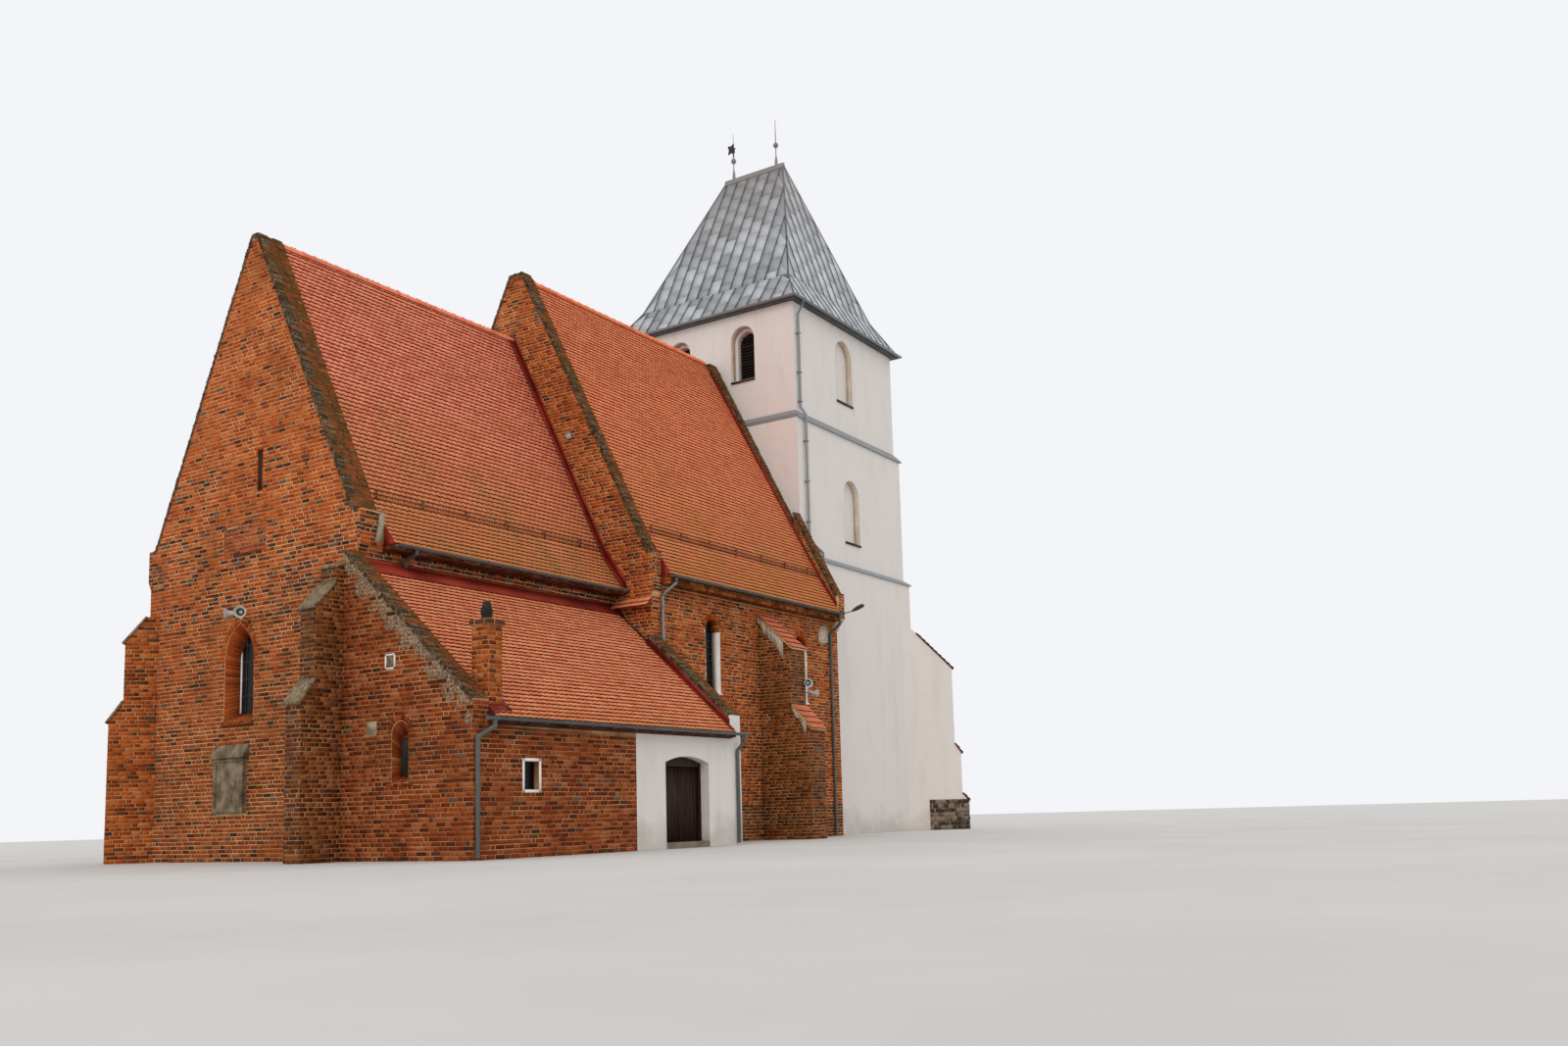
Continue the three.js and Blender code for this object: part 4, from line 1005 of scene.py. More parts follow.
def lay(heap: Heap, face: Face, outlines: Sequence[Outline], bond: Bond = Bond(), seed: int = 1) -> None:
    """Lays pieces in rows over a face: walls of brick, plinths of stone, roofs of sheet.

    Args:
        heap: Where the pieces go.
        face: The face they lie on.
        outlines: The face's outline and its holes, as s and t.
        bond: How they are laid.
        seed: Start of the chance values.
    """
    rng = np.random.default_rng(seed)
    levels = [t for outline in outlines for _, t in outline]
    lowest, highest = min(levels), max(levels)
    half = bond.joint / 2
    for row in range(math.ceil((highest - lowest) / bond.course - 1e-6)):
        low = lowest + row * bond.course + half
        high = min(lowest + (row + 1) * bond.course - half, highest - 1e-4)
        if high - low < LOWEST:
            continue
        lower, upper = crossings(outlines, low), crossings(outlines, high)
        if len(lower) != len(upper):
            lower = upper = crossings(outlines, (low + high) / 2)
        for (a0, a1), (b0, b1) in zip(lower, upper):
            start, end = min(a0, b0), max(a1, b1)
            period = sum(bond.lengths)
            s = math.floor(start / period) * period - (row * bond.shift) % period
            k = 0
            while s < end:
                length = bond.lengths[k % len(bond.lengths)]
                s0 = s + half + rng.uniform(-bond.wander, bond.wander) * (s > start)
                s1 = s + length - half
                s += length
                k += 1
                _, depth, tone, sink = rng.random(4)
                if s1 <= start or s0 >= end:
                    continue
                low_s = np.clip([s0, s1], a0, a1)
                high_s = np.clip([s0, s1], b0, b1)
                if max(low_s[1] - low_s[0], high_s[1] - high_s[0]) < SHORTEST:
                    continue
                sag = (sink - 0.5) * bond.joint * 0.5
                corners = [(low_s[0], low + sag), (low_s[1], low + sag), (high_s[1], high + sag),
                           (high_s[0], high + sag)]
                out = bond.proud + (depth - 0.5) * bond.rough
                heap.slab(face.place(corners, out), face.place(corners, -SUNK), int(tone < bond.share(low)))


def voussoirs(heap: Heap, face: Face, middle: Point2, radius: float, thick: float, start: float, end: float,
              count: int, out: float = 0.012, slot: int = 0) -> None:
    """Lays wedge bricks round an arch.

    Args:
        heap: Where the bricks go.
        face: The face they lie on.
        middle: The arc's middle as s and t.
        radius: The arc's inner radius.
        thick: The ring's height.
        start: First angle in degrees, from s upward.
        end: Last angle in degrees.
        count: Number of bricks.
        out: How far they stand out.
        slot: The faces' material slot.
    """
    step = math.radians(end - start) / count
    gap = ARCH_JOINT / radius
    for i in range(count):
        a = math.radians(start) + i * step + gap
        b = a + step - 2 * gap
        rims = rect(radius, radius + thick, a, b)
        corners = [(middle[0] + r * math.cos(w), middle[1] + r * math.sin(w)) for r, w in rims]
        heap.slab(face.place(corners, out + 0.004 * (i % 3 - 1)), face.place(corners, -SUNK), slot)


def reveal(heap: Heap, face: Face, near: Outline, far: Outline, deep: float, step: float = 0.10,
           above: float = -1.0) -> None:
    """Lays bricks round a reveal, each from the wall's face to the reveal's back.

    Args:
        heap: Where the bricks go.
        face: The wall's face.
        near: The opening's outline in the face, as s and t.
        far: The matching outline at the back.
        deep: How deep the reveal is.
        step: Spacing of the bricks round the outline.
        above: The t below which no bricks are laid.
    """
    rim, end = np.asarray(near, float), np.asarray(far, float)
    depths = (-0.004, -0.004, -deep, -deep)

    def moved(point: np.ndarray, way: float, outline: np.ndarray) -> np.ndarray:
        """Moves a point towards the middle line of its outline.

        Args:
            point: The point as s and t.
            way: How far it moves.
            outline: The outline it lies on.

        Returns:
            The moved point.
        """
        half = np.ptp(outline[:, 0]) / 2
        low, high = sorted((outline[:, 1].min() + half, outline[:, 1].max() - half))
        to = np.array([outline[:, 0].min() + half, np.clip(point[1], low, high)]) - point
        return point + to * way / max(np.linalg.norm(to), 1e-6)

    for i in range(len(near)):
        k = (i + 1) % len(near)
        if min(near[i][1], near[k][1]) < above - 1e-6:
            continue
        count = max(1, round(math.dist(near[i], near[k]) / step))
        for part in range(count):
            shares = [(part + 0.04) / count, (part + 0.96) / count]
            mouth = [np.array(near[i]) + (np.array(near[k]) - near[i]) * share for share in shares]
            back = [np.array(far[i]) + (np.array(far[k]) - far[i]) * share for share in shares]
            ends = []
            for at_mouth, at_back in ((MOUTH_PROUD, BACK_PROUD), (-BEHIND, -BEHIND)):
                spots = [moved(p, at_mouth, rim) for p in mouth] + [moved(p, at_back, end) for p in back]
                placed = [face.place([tuple(p)], out)[0] for p, out in zip(spots, depths)]
                ends.append(np.array(placed)[RING])
            corners, behind = ends
            if np.dot(np.cross(corners[1] - corners[0], corners[2] - corners[1]), corners[0] - behind[0]) < 0:
                corners, behind = corners[::-1], behind[::-1]
            heap.slab(corners, behind, closed=True)


def round_head(middle: float, width: float, bottom: float, spring: float, grow: float = 0.0,
               steps: int = 10) -> Outline:
    """Outline of a round-headed opening.

    Args:
        middle: The s of its middle.
        width: Its width.
        bottom: The t of its sill.
        spring: The t where the arch starts.
        grow: How much wider the arch is than the opening, on each side.
        steps: Number of steps of the arch.

    Returns:
        The outline as s and t.
    """
    points = [(middle - width / 2, bottom), (middle + width / 2, bottom), (middle + width / 2, spring)]
    radius = width / 2 + grow
    for i in range(steps + 1):
        angle = math.pi * i / steps
        points.append((middle + radius * math.cos(angle), spring + radius * math.sin(angle)))
    points.append((middle - width / 2, spring))
    return points


def pointed_head(middle: float, width: float, bottom: float, spring: float, apex: float, grow: float = 0.0,
                 steps: int = 8) -> Outline:
    """Outline of a pointed opening.

    Args:
        middle: The s of its middle.
        width: Its width.
        bottom: The t of its sill.
        spring: The t where the arcs start.
        apex: The t of its point.
        grow: How much larger the arcs are than the opening.
        steps: Number of steps of each arc.

    Returns:
        The outline as s and t.
    """
    half, rise = width / 2, apex - spring
    radius = (half * half + rise * rise) / (2 * half)
    points = [(middle - half, bottom), (middle + half, bottom), (middle + half, spring)]
    sweep = math.acos((radius - half) / (radius + grow)) if grow else math.asin(min(1, rise / radius))
    right = [(middle + half - radius + (radius + grow) * math.cos(sweep * i / steps),
              spring + (radius + grow) * math.sin(sweep * i / steps)) for i in range(steps + 1)]
    left = [(2 * middle - s, t) for s, t in right[::-1]]
    return [*points, *right, *left[1:], (middle - half, spring)]


@dataclass(frozen=True)
class PlainTile:
    """A beaver-tail roof tile.

    Attributes:
        width: Its width with the gap beside it.
        shown: The length that shows below the next row.
        thick: Its thickness.
        tail: Share of the shown length that is rounded.
        shade: Share of the shown length painted dark below the row above, as its shade and soot.
    """

    width: float = 0.18
    shown: float = 0.145
    thick: float = 0.018
    tail: float = 0.24
    shade: float = 0.24

    def outline(self) -> np.ndarray:
        """Outline of one tile.

        Returns:
            Its corners as share of the width from the middle and share of the length from the head.
        """
        flat, curl = 1 - self.tail, 1 - self.tail * 0.28
        head = [(-0.485, -0.42), (0.485, -0.42)]
        line = [(0.485, self.shade), (0.22, self.shade - 0.12), (0.0, self.shade - 0.22),
                (-0.22, self.shade - 0.12), (-0.485, self.shade)]
        return np.array([*head, *line, (-0.485, flat), (-0.33, curl), (0.0, 1.0), (0.33, curl),
                         (0.485, flat)])

    def cover(self, heap: Heap, x0: float, x1: float, profile: Outline, seed: int) -> None:
        """Covers a slope that runs along x.

        Args:
            heap: Where the tiles go.
            x0: One end of the slope.
            x1: The other end.
            profile: The slope's line from its head to its foot, as y and z.
            seed: Start of the chance values.
        """
        rng = np.random.default_rng(seed)
        line = np.asarray(profile, float)
        steps = np.linalg.norm(np.diff(line, axis=0), axis=1)
        marks = np.concatenate([[0], np.cumsum(steps)])
        side = 1.0 if line[-1, 0] > line[0, 0] else -1.0
        outline = self.outline()

        def spot(v: float) -> np.ndarray:
            """Returns the profile's point at a length from its head."""
            return np.array([np.interp(v, marks, line[:, 0]), np.interp(v, marks, line[:, 1])])

        rows = int(marks[-1] / self.shown)
        shown = marks[-1] / rows
        columns = int((x1 - x0) / self.width) + 2
        for row in range(rows):
            head, foot = spot(row * shown), spot((row + 1) * shown)
            way = (foot - head) / np.linalg.norm(foot - head)
            rise = np.array([-way[1] * side, way[0] * side])
            rise *= math.copysign(1, rise[1])
            shift = rng.uniform(-0.008, 0.008) + (row % 2) / 2 * self.width
            for column in range(columns):
                middle = x0 + (column + 0.25) * self.width - shift
                us = np.clip(middle + outline[:, 0] * self.width, x0, x1)
                if us.max() - us.min() < 0.03:
                    continue
                tilt, slip, lift = rng.uniform(-1, 1, 3)
                vs = outline[:, 1] * shown + slip * 0.004 + tilt * 0.004 * outline[:, 0]
                if row == 0:
                    vs = np.maximum(vs, 0)
                if row == rows - 1:
                    vs = np.minimum(vs, shown)
                up = 0.008 + np.clip(outline[:, 1], -0.2, 1) * (self.thick + 0.004) + lift * 0.0025
                yz = head + np.outer(vs, way)
                top = np.column_stack([us, yz + np.outer(up, rise)])
                low = np.column_stack([us[7:], yz[7:] + np.outer(up[7:] - self.thick, rise)])
                faces = [[0, 1, 2, 3, 4, 5, 6], [6, 5, 4, 3, 2, 11, 10, 9, 8, 7],
                         *[[7 + i, 8 + i, 13 + i, 12 + i] for i in range(4)]]
                if side < 0:
                    faces = [one[::-1] for one in faces]
                # The head strip and the tail's edges take slot 1, painted shade and soot; the shown tail
                # takes slot 0.
                first = len(heap.slots)
                heap.add(np.concatenate([top, low]), faces, 1)
                heap.slots[first + 1] = 0


def ridge_caps(heap: Heap, x0: float, x1: float, y: float, z: float, seed: int,
               radius: float = 0.115) -> None:
    """Lays half-round ridge tiles along x, each lapping over the last.

    Args:
        heap: Where they go.
        x0: One end of the ridge.
        x1: The other end.
        y: The ridge's y.
        z: The ridge's level.
        seed: Start of the chance values.
        radius: A tile's radius at its wide end.
    """
    rng = np.random.default_rng(seed)
    count = round((x1 - x0) / 0.36)
    length = (x1 - x0) / count
    angles = np.radians(np.linspace(-25, 205, 9))
    for i in range(count):
        rings = []
        start = x0 + i * length
        for share, size in ((-0.06, radius), (0.1, radius), (0.12, radius - 0.012), (1.0, radius - 0.018)):
            ring_y = y + size * np.cos(angles)
            ring_z = z - 0.045 + size * np.sin(angles) + rng.uniform(-0.003, 0.003)
            x = min(max(start + share * length, x0), x1)
            rings.append(np.column_stack([np.full(9, x), ring_y, ring_z]))
        faces = []
        for r in range(3):
            for k in range(8):
                a = r * 9 + k
                faces.append([a, a + 9, a + 10, a + 1])
        faces.append(list(range(9)))
        heap.add(np.concatenate(rings), faces)


def coping(heap: Heap, face: Face, width: float, length: float, seed: int, course: float = 0.085,
           drop: float = 0.075) -> None:
    """Lays bricks on edge along a sloping wall head; their tops take slot 0 and their ends slot 1.

    Args:
        heap: Where they go.
        face: The sloping face, with s across the wall and t up the slope.
        width: The wall's thickness.
        length: The slope's length.
        seed: Start of the chance values.
        course: Spacing of the bricks up the slope.
        drop: How deep the bricks reach into the wall.
    """
    rng = np.random.default_rng(seed)
    rows = max(1, round(length / course))
    course = length / rows
    parts = max(1, round(width / 0.26))
    for row in range(rows):
        edges = np.linspace(-0.004, width + 0.004, parts + 1)
        edges[1:-1] += rng.uniform(-0.05, 0.05, parts - 1)
        edges[0] -= rng.uniform(0, 0.012)
        edges[-1] += rng.uniform(0, 0.012)
        for k, (a, b) in enumerate(zip(edges[:-1], edges[1:])):
            out = rng.uniform(0.002, 0.016) + (rng.uniform(0, 0.022) if k in (0, parts - 1) else 0)
            t0, t1 = row * course + 0.004, (row + 1) * course - 0.004
            corners = rect(a + 0.003, b - 0.003, t0, t1)
            rough_end = int(k == 0 and rng.random() < 0.7)
            heap.capped(face.place(corners, out), face.place(corners, -drop), rough_end)


def rake(heap: Heap, x0: float, x1: float, line: Outline, seed: int) -> None:
    """Lays a coping along each stretch of a gable's line.

    Args:
        heap: Where the bricks go.
        x0: The wall's east face.
        x1: The wall's west face.
        line: The gable's line as y and z.
        seed: Start of the chance values.
    """
    for i, ((y0, z0), (y1, z1)) in enumerate(zip(line[:-1], line[1:])):
        foot, head = ((y0, z0), (y1, z1)) if z0 <= z1 else ((y1, z1), (y0, z0))
        face = Face.sloped((x0, *foot), (x0, *head), ALONG)
        coping(heap, face, x1 - x0, math.dist(foot, head), seed + i)


def lining(heap: Heap, face: Face, outline: Outline, deep: float, slot: int = 0, top: float = 99.0) -> None:
    """Lines a reveal with thin plaster.

    Args:
        heap: Where the lining goes.
        face: The wall's face.
        outline: The opening's outline as s and t.
        deep: How deep the reveal is.
        slot: The faces' material slot.
        top: The t from which upward the reveal stays bare.
    """
    flat = np.asarray(outline, float)
    middle = flat.mean(0)
    inner = middle + (flat - middle) * (1 - 0.012)
    front, back = face.place(outline, SUNK), face.place(outline, -deep)
    inner_front, inner_back = face.place(inner, SUNK), face.place(inner, -deep)
    n = len(outline)
    for i in range(n):
        k = (i + 1) % n
        if min(outline[i][1], outline[k][1]) > top - 1e-6:
            continue
        heap.add(np.array([inner_front[i], inner_back[i], inner_back[k], inner_front[k],
                           front[i], back[i], back[k], front[k]]),
                 [[0, 1, 2, 3], [4, 7, 6, 5], [0, 3, 7, 4], [1, 5, 6, 2]], slot)


def glazing_bars(heap: Heap, face: Face, outline: Outline, out: float, pitch: Point2,
                 size: float = 0.018) -> None:
    """Lays bars over a pane in both directions.

    Args:
        heap: Where the bars go.
        face: The wall's face.
        outline: The pane's outline as s and t.
        out: How far the bars' front stands out from the face.
        pitch: Spacing across and up.
        size: Width of a bar.
    """
    flat = np.asarray(outline, float)
    (s0, t0), (s1, t1) = flat.min(0), flat.max(0)
    for k in range(1, round((t1 - t0) / pitch[1])):
        t = t0 + k * pitch[1]
        for a, b in crossings([outline], t):
            face.plate(heap, rect(a, b, t - size / 2, t + size / 2), out, 0.012)
    swapped = [(t, s) for s, t in outline]
    columns = round((s1 - s0) / pitch[0])
    for k in range(1, columns):
        s = s0 + k * (s1 - s0) / columns
        for a, b in crossings([swapped], s):
            face.plate(heap, rect(s - size / 2, s + size / 2, a, b), out + 0.003, 0.012)


def snow_guard(heap: Heap, x0: float, x1: float, y: float, z: float, side: float) -> None:
    """Builds a low snow-guard grating along a roof.

    Args:
        heap: Where it goes.
        x0: One end.
        x1: The other end.
        y: The y of its foot.
        z: The level of its foot.
        side: 1 on the south slope, -1 on the north slope.
    """
    lean, rise = 0.05 * side, 0.21
    for share in (0.05, 0.5, 1.0):
        start = (x0, y + lean * share, z + rise * share)
        heap.bar(start, (x1, start[1], start[2]), 0.012, 0.012)
    for x in np.arange(x0 + 0.03, x1, 0.09):
        heap.bar((x, y, z), (x, y + lean, z + rise), 0.008, 0.008, up=(0, 1, 0))
    for x in np.arange(x0 + 0.1, x1, 1.45):
        heap.bar((x, y + lean, z + rise), (x, y - 0.16 * side, z + 0.10), 0.02, 0.02)
        heap.bar((x, y, z - 0.08), (x, y + lean, z + rise), 0.03, 0.02, up=(0, 1, 0))


def tile_rows(heap: Heap, face: Face, width: float, length: float, rows: int, seed: int) -> None:
    """Lays rows of thick tiles up a small slope; their tops take slot 0 and their edges slot 1, for the
    painted shade below each row.

    Args:
        heap: Where they go.
        face: The sloping face, with s across it and t up the slope.
        width: The slope's width.
        length: The slope's length.
        rows: Number of rows.
        seed: Start of the chance values.
    """
    rng = np.random.default_rng(seed)
    origin, along, up, out = (np.asarray(v, float) for v in (face.origin, face.along, face.up, face.out))
    shown = length / rows
    columns = max(1, round(width / 0.21))
    for row in range(rows):
        for column in range(columns):
            s0 = -0.02 + (width + 0.04) * column / columns + 0.004
            s1 = -0.02 + (width + 0.04) * (column + 1) / columns - 0.004
            low, high = row * shown - 0.03 + rng.uniform(-0.006, 0.006), (row + 1) * shown
            spots = ((s0, low, 0.075), (s1, low, 0.075), (s1, high, 0.035), (s0, high, 0.035))
            tops = np.array([origin + along * s + up * t + out * o for s, t, o in spots])
            lows = tops - out * 0.035
            if np.dot(np.cross(tops[1] - tops[0], tops[2] - tops[1]), out) < 0:
                tops, lows = tops[::-1], lows[::-1]
            heap.capped(tops, lows)


@dataclass(frozen=True)
class Roof:
    """A tiled pitched roof.

    Attributes:
        name: Start of its pieces' names.
        x0: Its east end.
        x1: Its west end.
        y: The y of its ridge.
        ridge: The ridge's level.
        knee: Where each slope gets flatter, as distance from the ridge and level.
        eave: The foot of each slope, in the same way.
        surface: Its tiles' finish.
        guard: Distance from the ridge of the snow guard's foot.
    """

    name: str
    x0: float
    x1: float
    y: float
    ridge: float
    knee: Point2
    eave: Point2
    surface: Surface
    guard: float

    def build(self) -> None:
        """Builds the tiles, the ridge and the snow guards."""
        tile = PlainTile()
        for label, side in (("north", -1.0), ("south", 1.0)):
            heap = Heap()
            profile = [(self.y, self.ridge), (self.y + side * self.knee[0], self.knee[1]),
                       (self.y + side * self.eave[0], self.eave[1])]
            tile.cover(heap, self.x0 + 0.004, self.x1 - 0.004, profile, 11 if side > 0 else 12)
            heap.piece(f"{self.name}_{label}_tiles", [self.surface, Surface.TILE_SOOT_AND_SHADE], "roof_tile")
            guard = Heap()
            slope = (self.ridge - self.knee[1]) / self.knee[0]
            level = self.ridge - slope * self.guard + 0.04
            snow_guard(guard, self.x0 + 0.05, self.x1 - 0.05, self.y + side * self.guard, level, side)
            guard.piece(f"{self.name}_{label}_snow_guard", [Surface.GUARD], "iron")
        ridge = Heap()
        ridge_caps(ridge, self.x0 + 0.004, self.x1 - 0.004, self.y, self.ridge + 0.035, 5)
        ridge.piece(f"{self.name}_ridge_tiles", [self.surface], "roof_tile", smooth=40)
        holders = Heap()
        for x in np.arange(self.x0 + 0.5, self.x1 - 0.2, 0.85):
            holders.tube([(x, self.y, self.ridge + 0.09), (x, self.y, self.ridge + 0.13)], [0.016, 0.01], 8)
        holders.piece(f"{self.name}_ridge_clips", [Surface.IRON], "iron")
        dress_nodes(Surface.TILE_BED_SHADE, f"{self.name}_roof")

    def cornice(self, heap: Heap, level: float, wall: float) -> None:
        """Lays the brick courses that carry both eaves, and the red sheets that close the eaves' east ends.

        Args:
            heap: Where they go: bricks take slots 0 and 1, slot 1 being the painted shade under the eaves;
                the sheets take slot 2.
            level: Level of the eaves' underside.
            wall: The walls' distance from the ridge.
        """
        out, top = self.eave
        rise = (self.knee[1] - top) / (out - self.knee[0])
        for side in (-1.0, 1.0):
            a, b = sorted((self.y + side * wall, self.y + side * out))
            # Almost all bricks of the underside and front take slot 1, the darker finish: painted shade under
            # the eaves.
            under = Face((0.0, 0.0, level), ALONG, ACROSS, (0.0, 0.0, -1.0))
            lay(heap, under, [rect(self.x0, self.x1, a, b)], Bond(odd=0.97, joint=0.004), 41)
            edge = self.y + side * out
            front = Face.side(edge, side)
            lay(heap, front, [rect(self.x0, self.x1, level, top - 0.02)],
                Bond(odd=0.97, proud=0.002, joint=0.004), 42)
            inner = wall + 0.12 if wall < 4.5 else wall + 0.07
            closing = [(self.y + side * d, z) for d, z in (
                (out, top), (inner, top), (inner, top + rise * (out - inner) + 0.02), (out, top + 0.03))]
            Face.east(self.x0).plate(heap, closing, 0.012, 0.01, 2)
            ends = sorted((self.y + side * inner, self.y + side * out))
            lay(heap, Face.east(self.x0), [rect(*ends, level, top)], Bond(odd=0.5), 43)


def stepped_pier(bricks: Heap, tops: Heap, corner: Point2, way: Point2, half: float, profile: Outline,
                 slopes: Sequence[tuple[Point2, Point2]], seed: int, bond: Bond = Bond(),
                 front: Bond = Bond(odd=0.55)) -> None:
    """Lays the brick faces and the sloping tops of a buttress.

    Args:
        bricks: Where the bricks go.
        tops: Where the sloping tops go.
        corner: The x and y from which its profile is measured.
        way: The direction in which it stands out, as x and y.
        half: Half its width.
        profile: Its outline seen from the side, as distance out and level, from its foot at the front.
        slopes: Its sloping tops, each from foot to head, as distance out and level.
        seed: Start of the chance values.
        bond: How the bricks of its sides are laid.
        front: How the bricks of its front are laid; by default over half take the darker second finish, for
            soot and painted shade on the front.
    """
    across = (-way[1], way[0])

    def spot(out: float, aside: float, level: float = 0.0) -> Point3:
        """Returns the point this far out, aside and up from the corner."""
        x, y = (c + w * out + a * aside for c, w, a in zip(corner, way, across))
        return (x, y, level)

    for side in (-1.0, 1.0):
        face = Face(spot(0.0, half * side), (*way, 0.0), (0, 0, 1), (across[0] * side, across[1] * side, 0.0))
        lay(bricks, face, [profile], bond, seed + int(side))
    for i, ((out0, z0), (out1, z1)) in enumerate(zip(profile[:-1], profile[1:])):
        if abs(out0 - out1) > 1e-6 or z1 <= z0:
            continue
        face = Face(spot(out0, 0.0), (*across, 0.0), (0, 0, 1), (*way, 0.0))
        lay(bricks, face, [rect(-half, half, z0, z1)], front, seed + 5 + i)
    for (out0, z0), (out1, z1) in slopes:
        foot, top = spot(out0, -half, z0), spot(out1, -half, z1)
        outline = rect(-0.03, 2 * half + 0.03, -0.05, math.dist(foot, top))
        Face.sloped(foot, top, (*across, 0.0)).plate(tops, outline, 0.035, 0.055)


def shaft(heap: Heap, sides: Sequence[float], low: float, high: float, bond: Bond, seed: int) -> None:
    """Lays the four sides of an upright shaft.

    Args:
        heap: Where the bricks go.
        sides: Its east, west, north and south sides.
        low: Its foot's level.
        high: Its head's level.
        bond: How the bricks are laid.
        seed: Start of the chance values.
    """
    x0, x1, y0, y1 = sides
    for face, a, b in ((Face.east(x0), y0, y1), (Face.west(x1), y0, y1), (Face.north(y0), x0, x1),
                       (Face.south(y1), x0, x1)):
        lay(heap, face, [rect(a, b, low, high)], bond, seed)


@dataclass
class Chancel:
    """The chancel: gable, south wall, buttresses, roof and east window.

    Attributes:
        half: Half its width.
        west: Its west end.
        thick: The gable wall's thickness.
        kneeler: Distance from the axis to the kneelers' faces.
        window: The east window's middle, width, sill, spring and point.
        slit: The gable slit's sides, foot and head.
        niche: The blocked niche's sides, foot and head.
        south_windows: The south windows' middles.
        south_window: Their width, sill and spring.
        ring: Height of the arches' brick rings.
    """

    half: float = CHANCEL_HALF
    west: float = 9.18
    thick: float = 0.70
    kneeler: float = 4.07
    window: tuple[float, ...] = (0.22, 1.14, 3.37, 4.9, 5.76)
    slit: tuple[float, ...] = (-0.525, -0.255, 8.94, 10.03)
    niche: tuple[float, ...] = (-0.70, 0.94, 7.47, 8.15)
    south_windows: Point2 = (3.2, 6.7)
    south_window: Point3 = (0.76, 3.3, 5.0)
    ring: float = 0.14

    def build(self) -> None:
        """Builds and dresses the chancel's pieces."""
        self.walls()
        self.gable_coping()
        self.buttresses()
        self.glass()
        self.tablet()
        roof = Roof("chancel", self.thick, self.west, 0.0, 15.60, (3.70, 8.20), (4.42, 7.23),
                    Surface.CHANCEL_TILE, 3.60)
        roof.build()
        cornice = Heap()
        roof.cornice(cornice, 7.10, self.half)
        cornice.piece("chancel_cornice", [Surface.ALGAE_AND_SHADE_BRICK, Surface.BURNT_AND_SHADE_BRICK, Surface.RED_SHEET],
                      "brick")

    def walls(self) -> None:
        """Lays the walls' bricks."""
        bricks = Heap()
        self.gable(bricks)
        self.arch(bricks)
        self.reveals(bricks)
        self.kneelers(bricks)
        self.sides(bricks)
        bricks.piece("chancel_bricks", [Surface.BRICK, Surface.BURNT_AND_SHADE_BRICK, Surface.PALE_STONE,
                                        Surface.WASH], "brick")
        dress_nodes(Surface.MORTAR, "chancel_east_wall", "chancel_north_wall", "chancel_south_wall")

    def gable(self, bricks: Heap) -> None:
        """Lays the gable with its openings, and the bricks that block its niche.

        Args:
            bricks: Where the bricks go.
        """
        k = self.kneeler
        rake_line = [(self.half, 7.01), (k, 7.17), (k, 8.0), (3.826, 8.0), (3.826, 7.87), (0.12, 15.52)]
        outline = [(-self.half, 0), (self.half, 0), *rake_line, *[(-y, z) for y, z in rake_line[::-1]]]
        holes = [pointed_head(*self.window, self.ring), rect(*self.slit), rect(-0.71, 0.95, 7.46, 8.23),
                 rect(-0.17, 0.99, 1.14, 2.55), rect(-3.951, -3.44, 0.001, 6.76)]
        bands = ((0.0, 0.2), (2.8, 0.12), (5.7, 0.12), (5.9, 0.4), (6.4, 0.4), (6.6, 0.12), (7.0, 0.15),
                 (7.2, 0.45), (7.5, 0.25), (8.4, 0.1), (9.6, 0.12), (10.8, 0.05), (15.0, 0.03))
        lay(bricks, Face.east(0.0), [outline, *holes], Bond(bands=bands), seed=101)
        lay(bricks, Face.east(0.012), [rect(*self.niche)], Bond(odd=0.12), seed=102)
        Face.east(0.012).plate(bricks, rect(-0.71, 0.95, 7.46, 8.15), 0.0, 0.02, 3)

    def arch(self, bricks: Heap) -> None:
        """Lays the east window's pointed arch, its sill and the blocked niche's lintel.

        Args:
            bricks: Where the bricks go.
        """
        middle, width, bottom, spring, apex = self.window
        half, rise = width / 2, apex - spring
        radius = (half * half + rise * rise) / (2 * half)
        sweep = math.degrees(math.asin(rise / radius))
        face = Face.east(0.0)
        voussoirs(bricks, face, (middle + half - radius, spring), radius, self.ring, 0, sweep, 11)
        voussoirs(bricks, face, (middle - half + radius, spring), radius, self.ring, 180 - sweep, 180, 11)
        lay(bricks, face, [rect(-0.71, 0.95, 8.15, 8.23)], Bond(course=0.08), seed=107)
        for s0, s1, high in ((-0.1, 0.28, 0.035), (0.34, 0.86, 0.05)):
            smear = [(s0, 8.152), (s1, 8.15), (s1 - 0.04, 8.15 + high), (s0 + 0.05, 8.15 + high)]
            face.plate(bricks, smear, 0.012, 0.10, 2)
        sill = Face.sloped((-0.07, middle - 0.6, bottom - 0.10), (0.0, middle - 0.6, bottom), ACROSS)
        lay(bricks, sill, [rect(0.0, 1.2, 0.0, 0.122)],
            Bond(course=0.122, lengths=(0.085,), shift=0.0, proud=0.004), seed=108)
        face.plate(bricks, rect(middle - 0.6, middle + 0.6, bottom - 0.13, bottom - 0.1), 0.06, 0.08, 1)

    def reveals(self, bricks: Heap) -> None:
        """Lays the reveals of the east window, the slit and the niche.

        Args:
            bricks: Where the bricks go.
        """
        middle, width, bottom, _, apex = self.window
        near = pointed_head(*self.window)
        centre, back_sill = np.array((middle, bottom)), np.array((middle, 3.56))
        shrink = (0.66 / width, 1.92 / (apex - bottom))
        far = [tuple(back_sill + (np.array(p) - centre) * shrink) for p in near]
        reveal(bricks, Face.east(0.0), near, far, 0.298)
        for outline, deep in ((rect(*self.slit), 0.34), (rect(*self.niche), 0.014)):
            reveal(bricks, Face.east(0.0), outline, outline, deep)

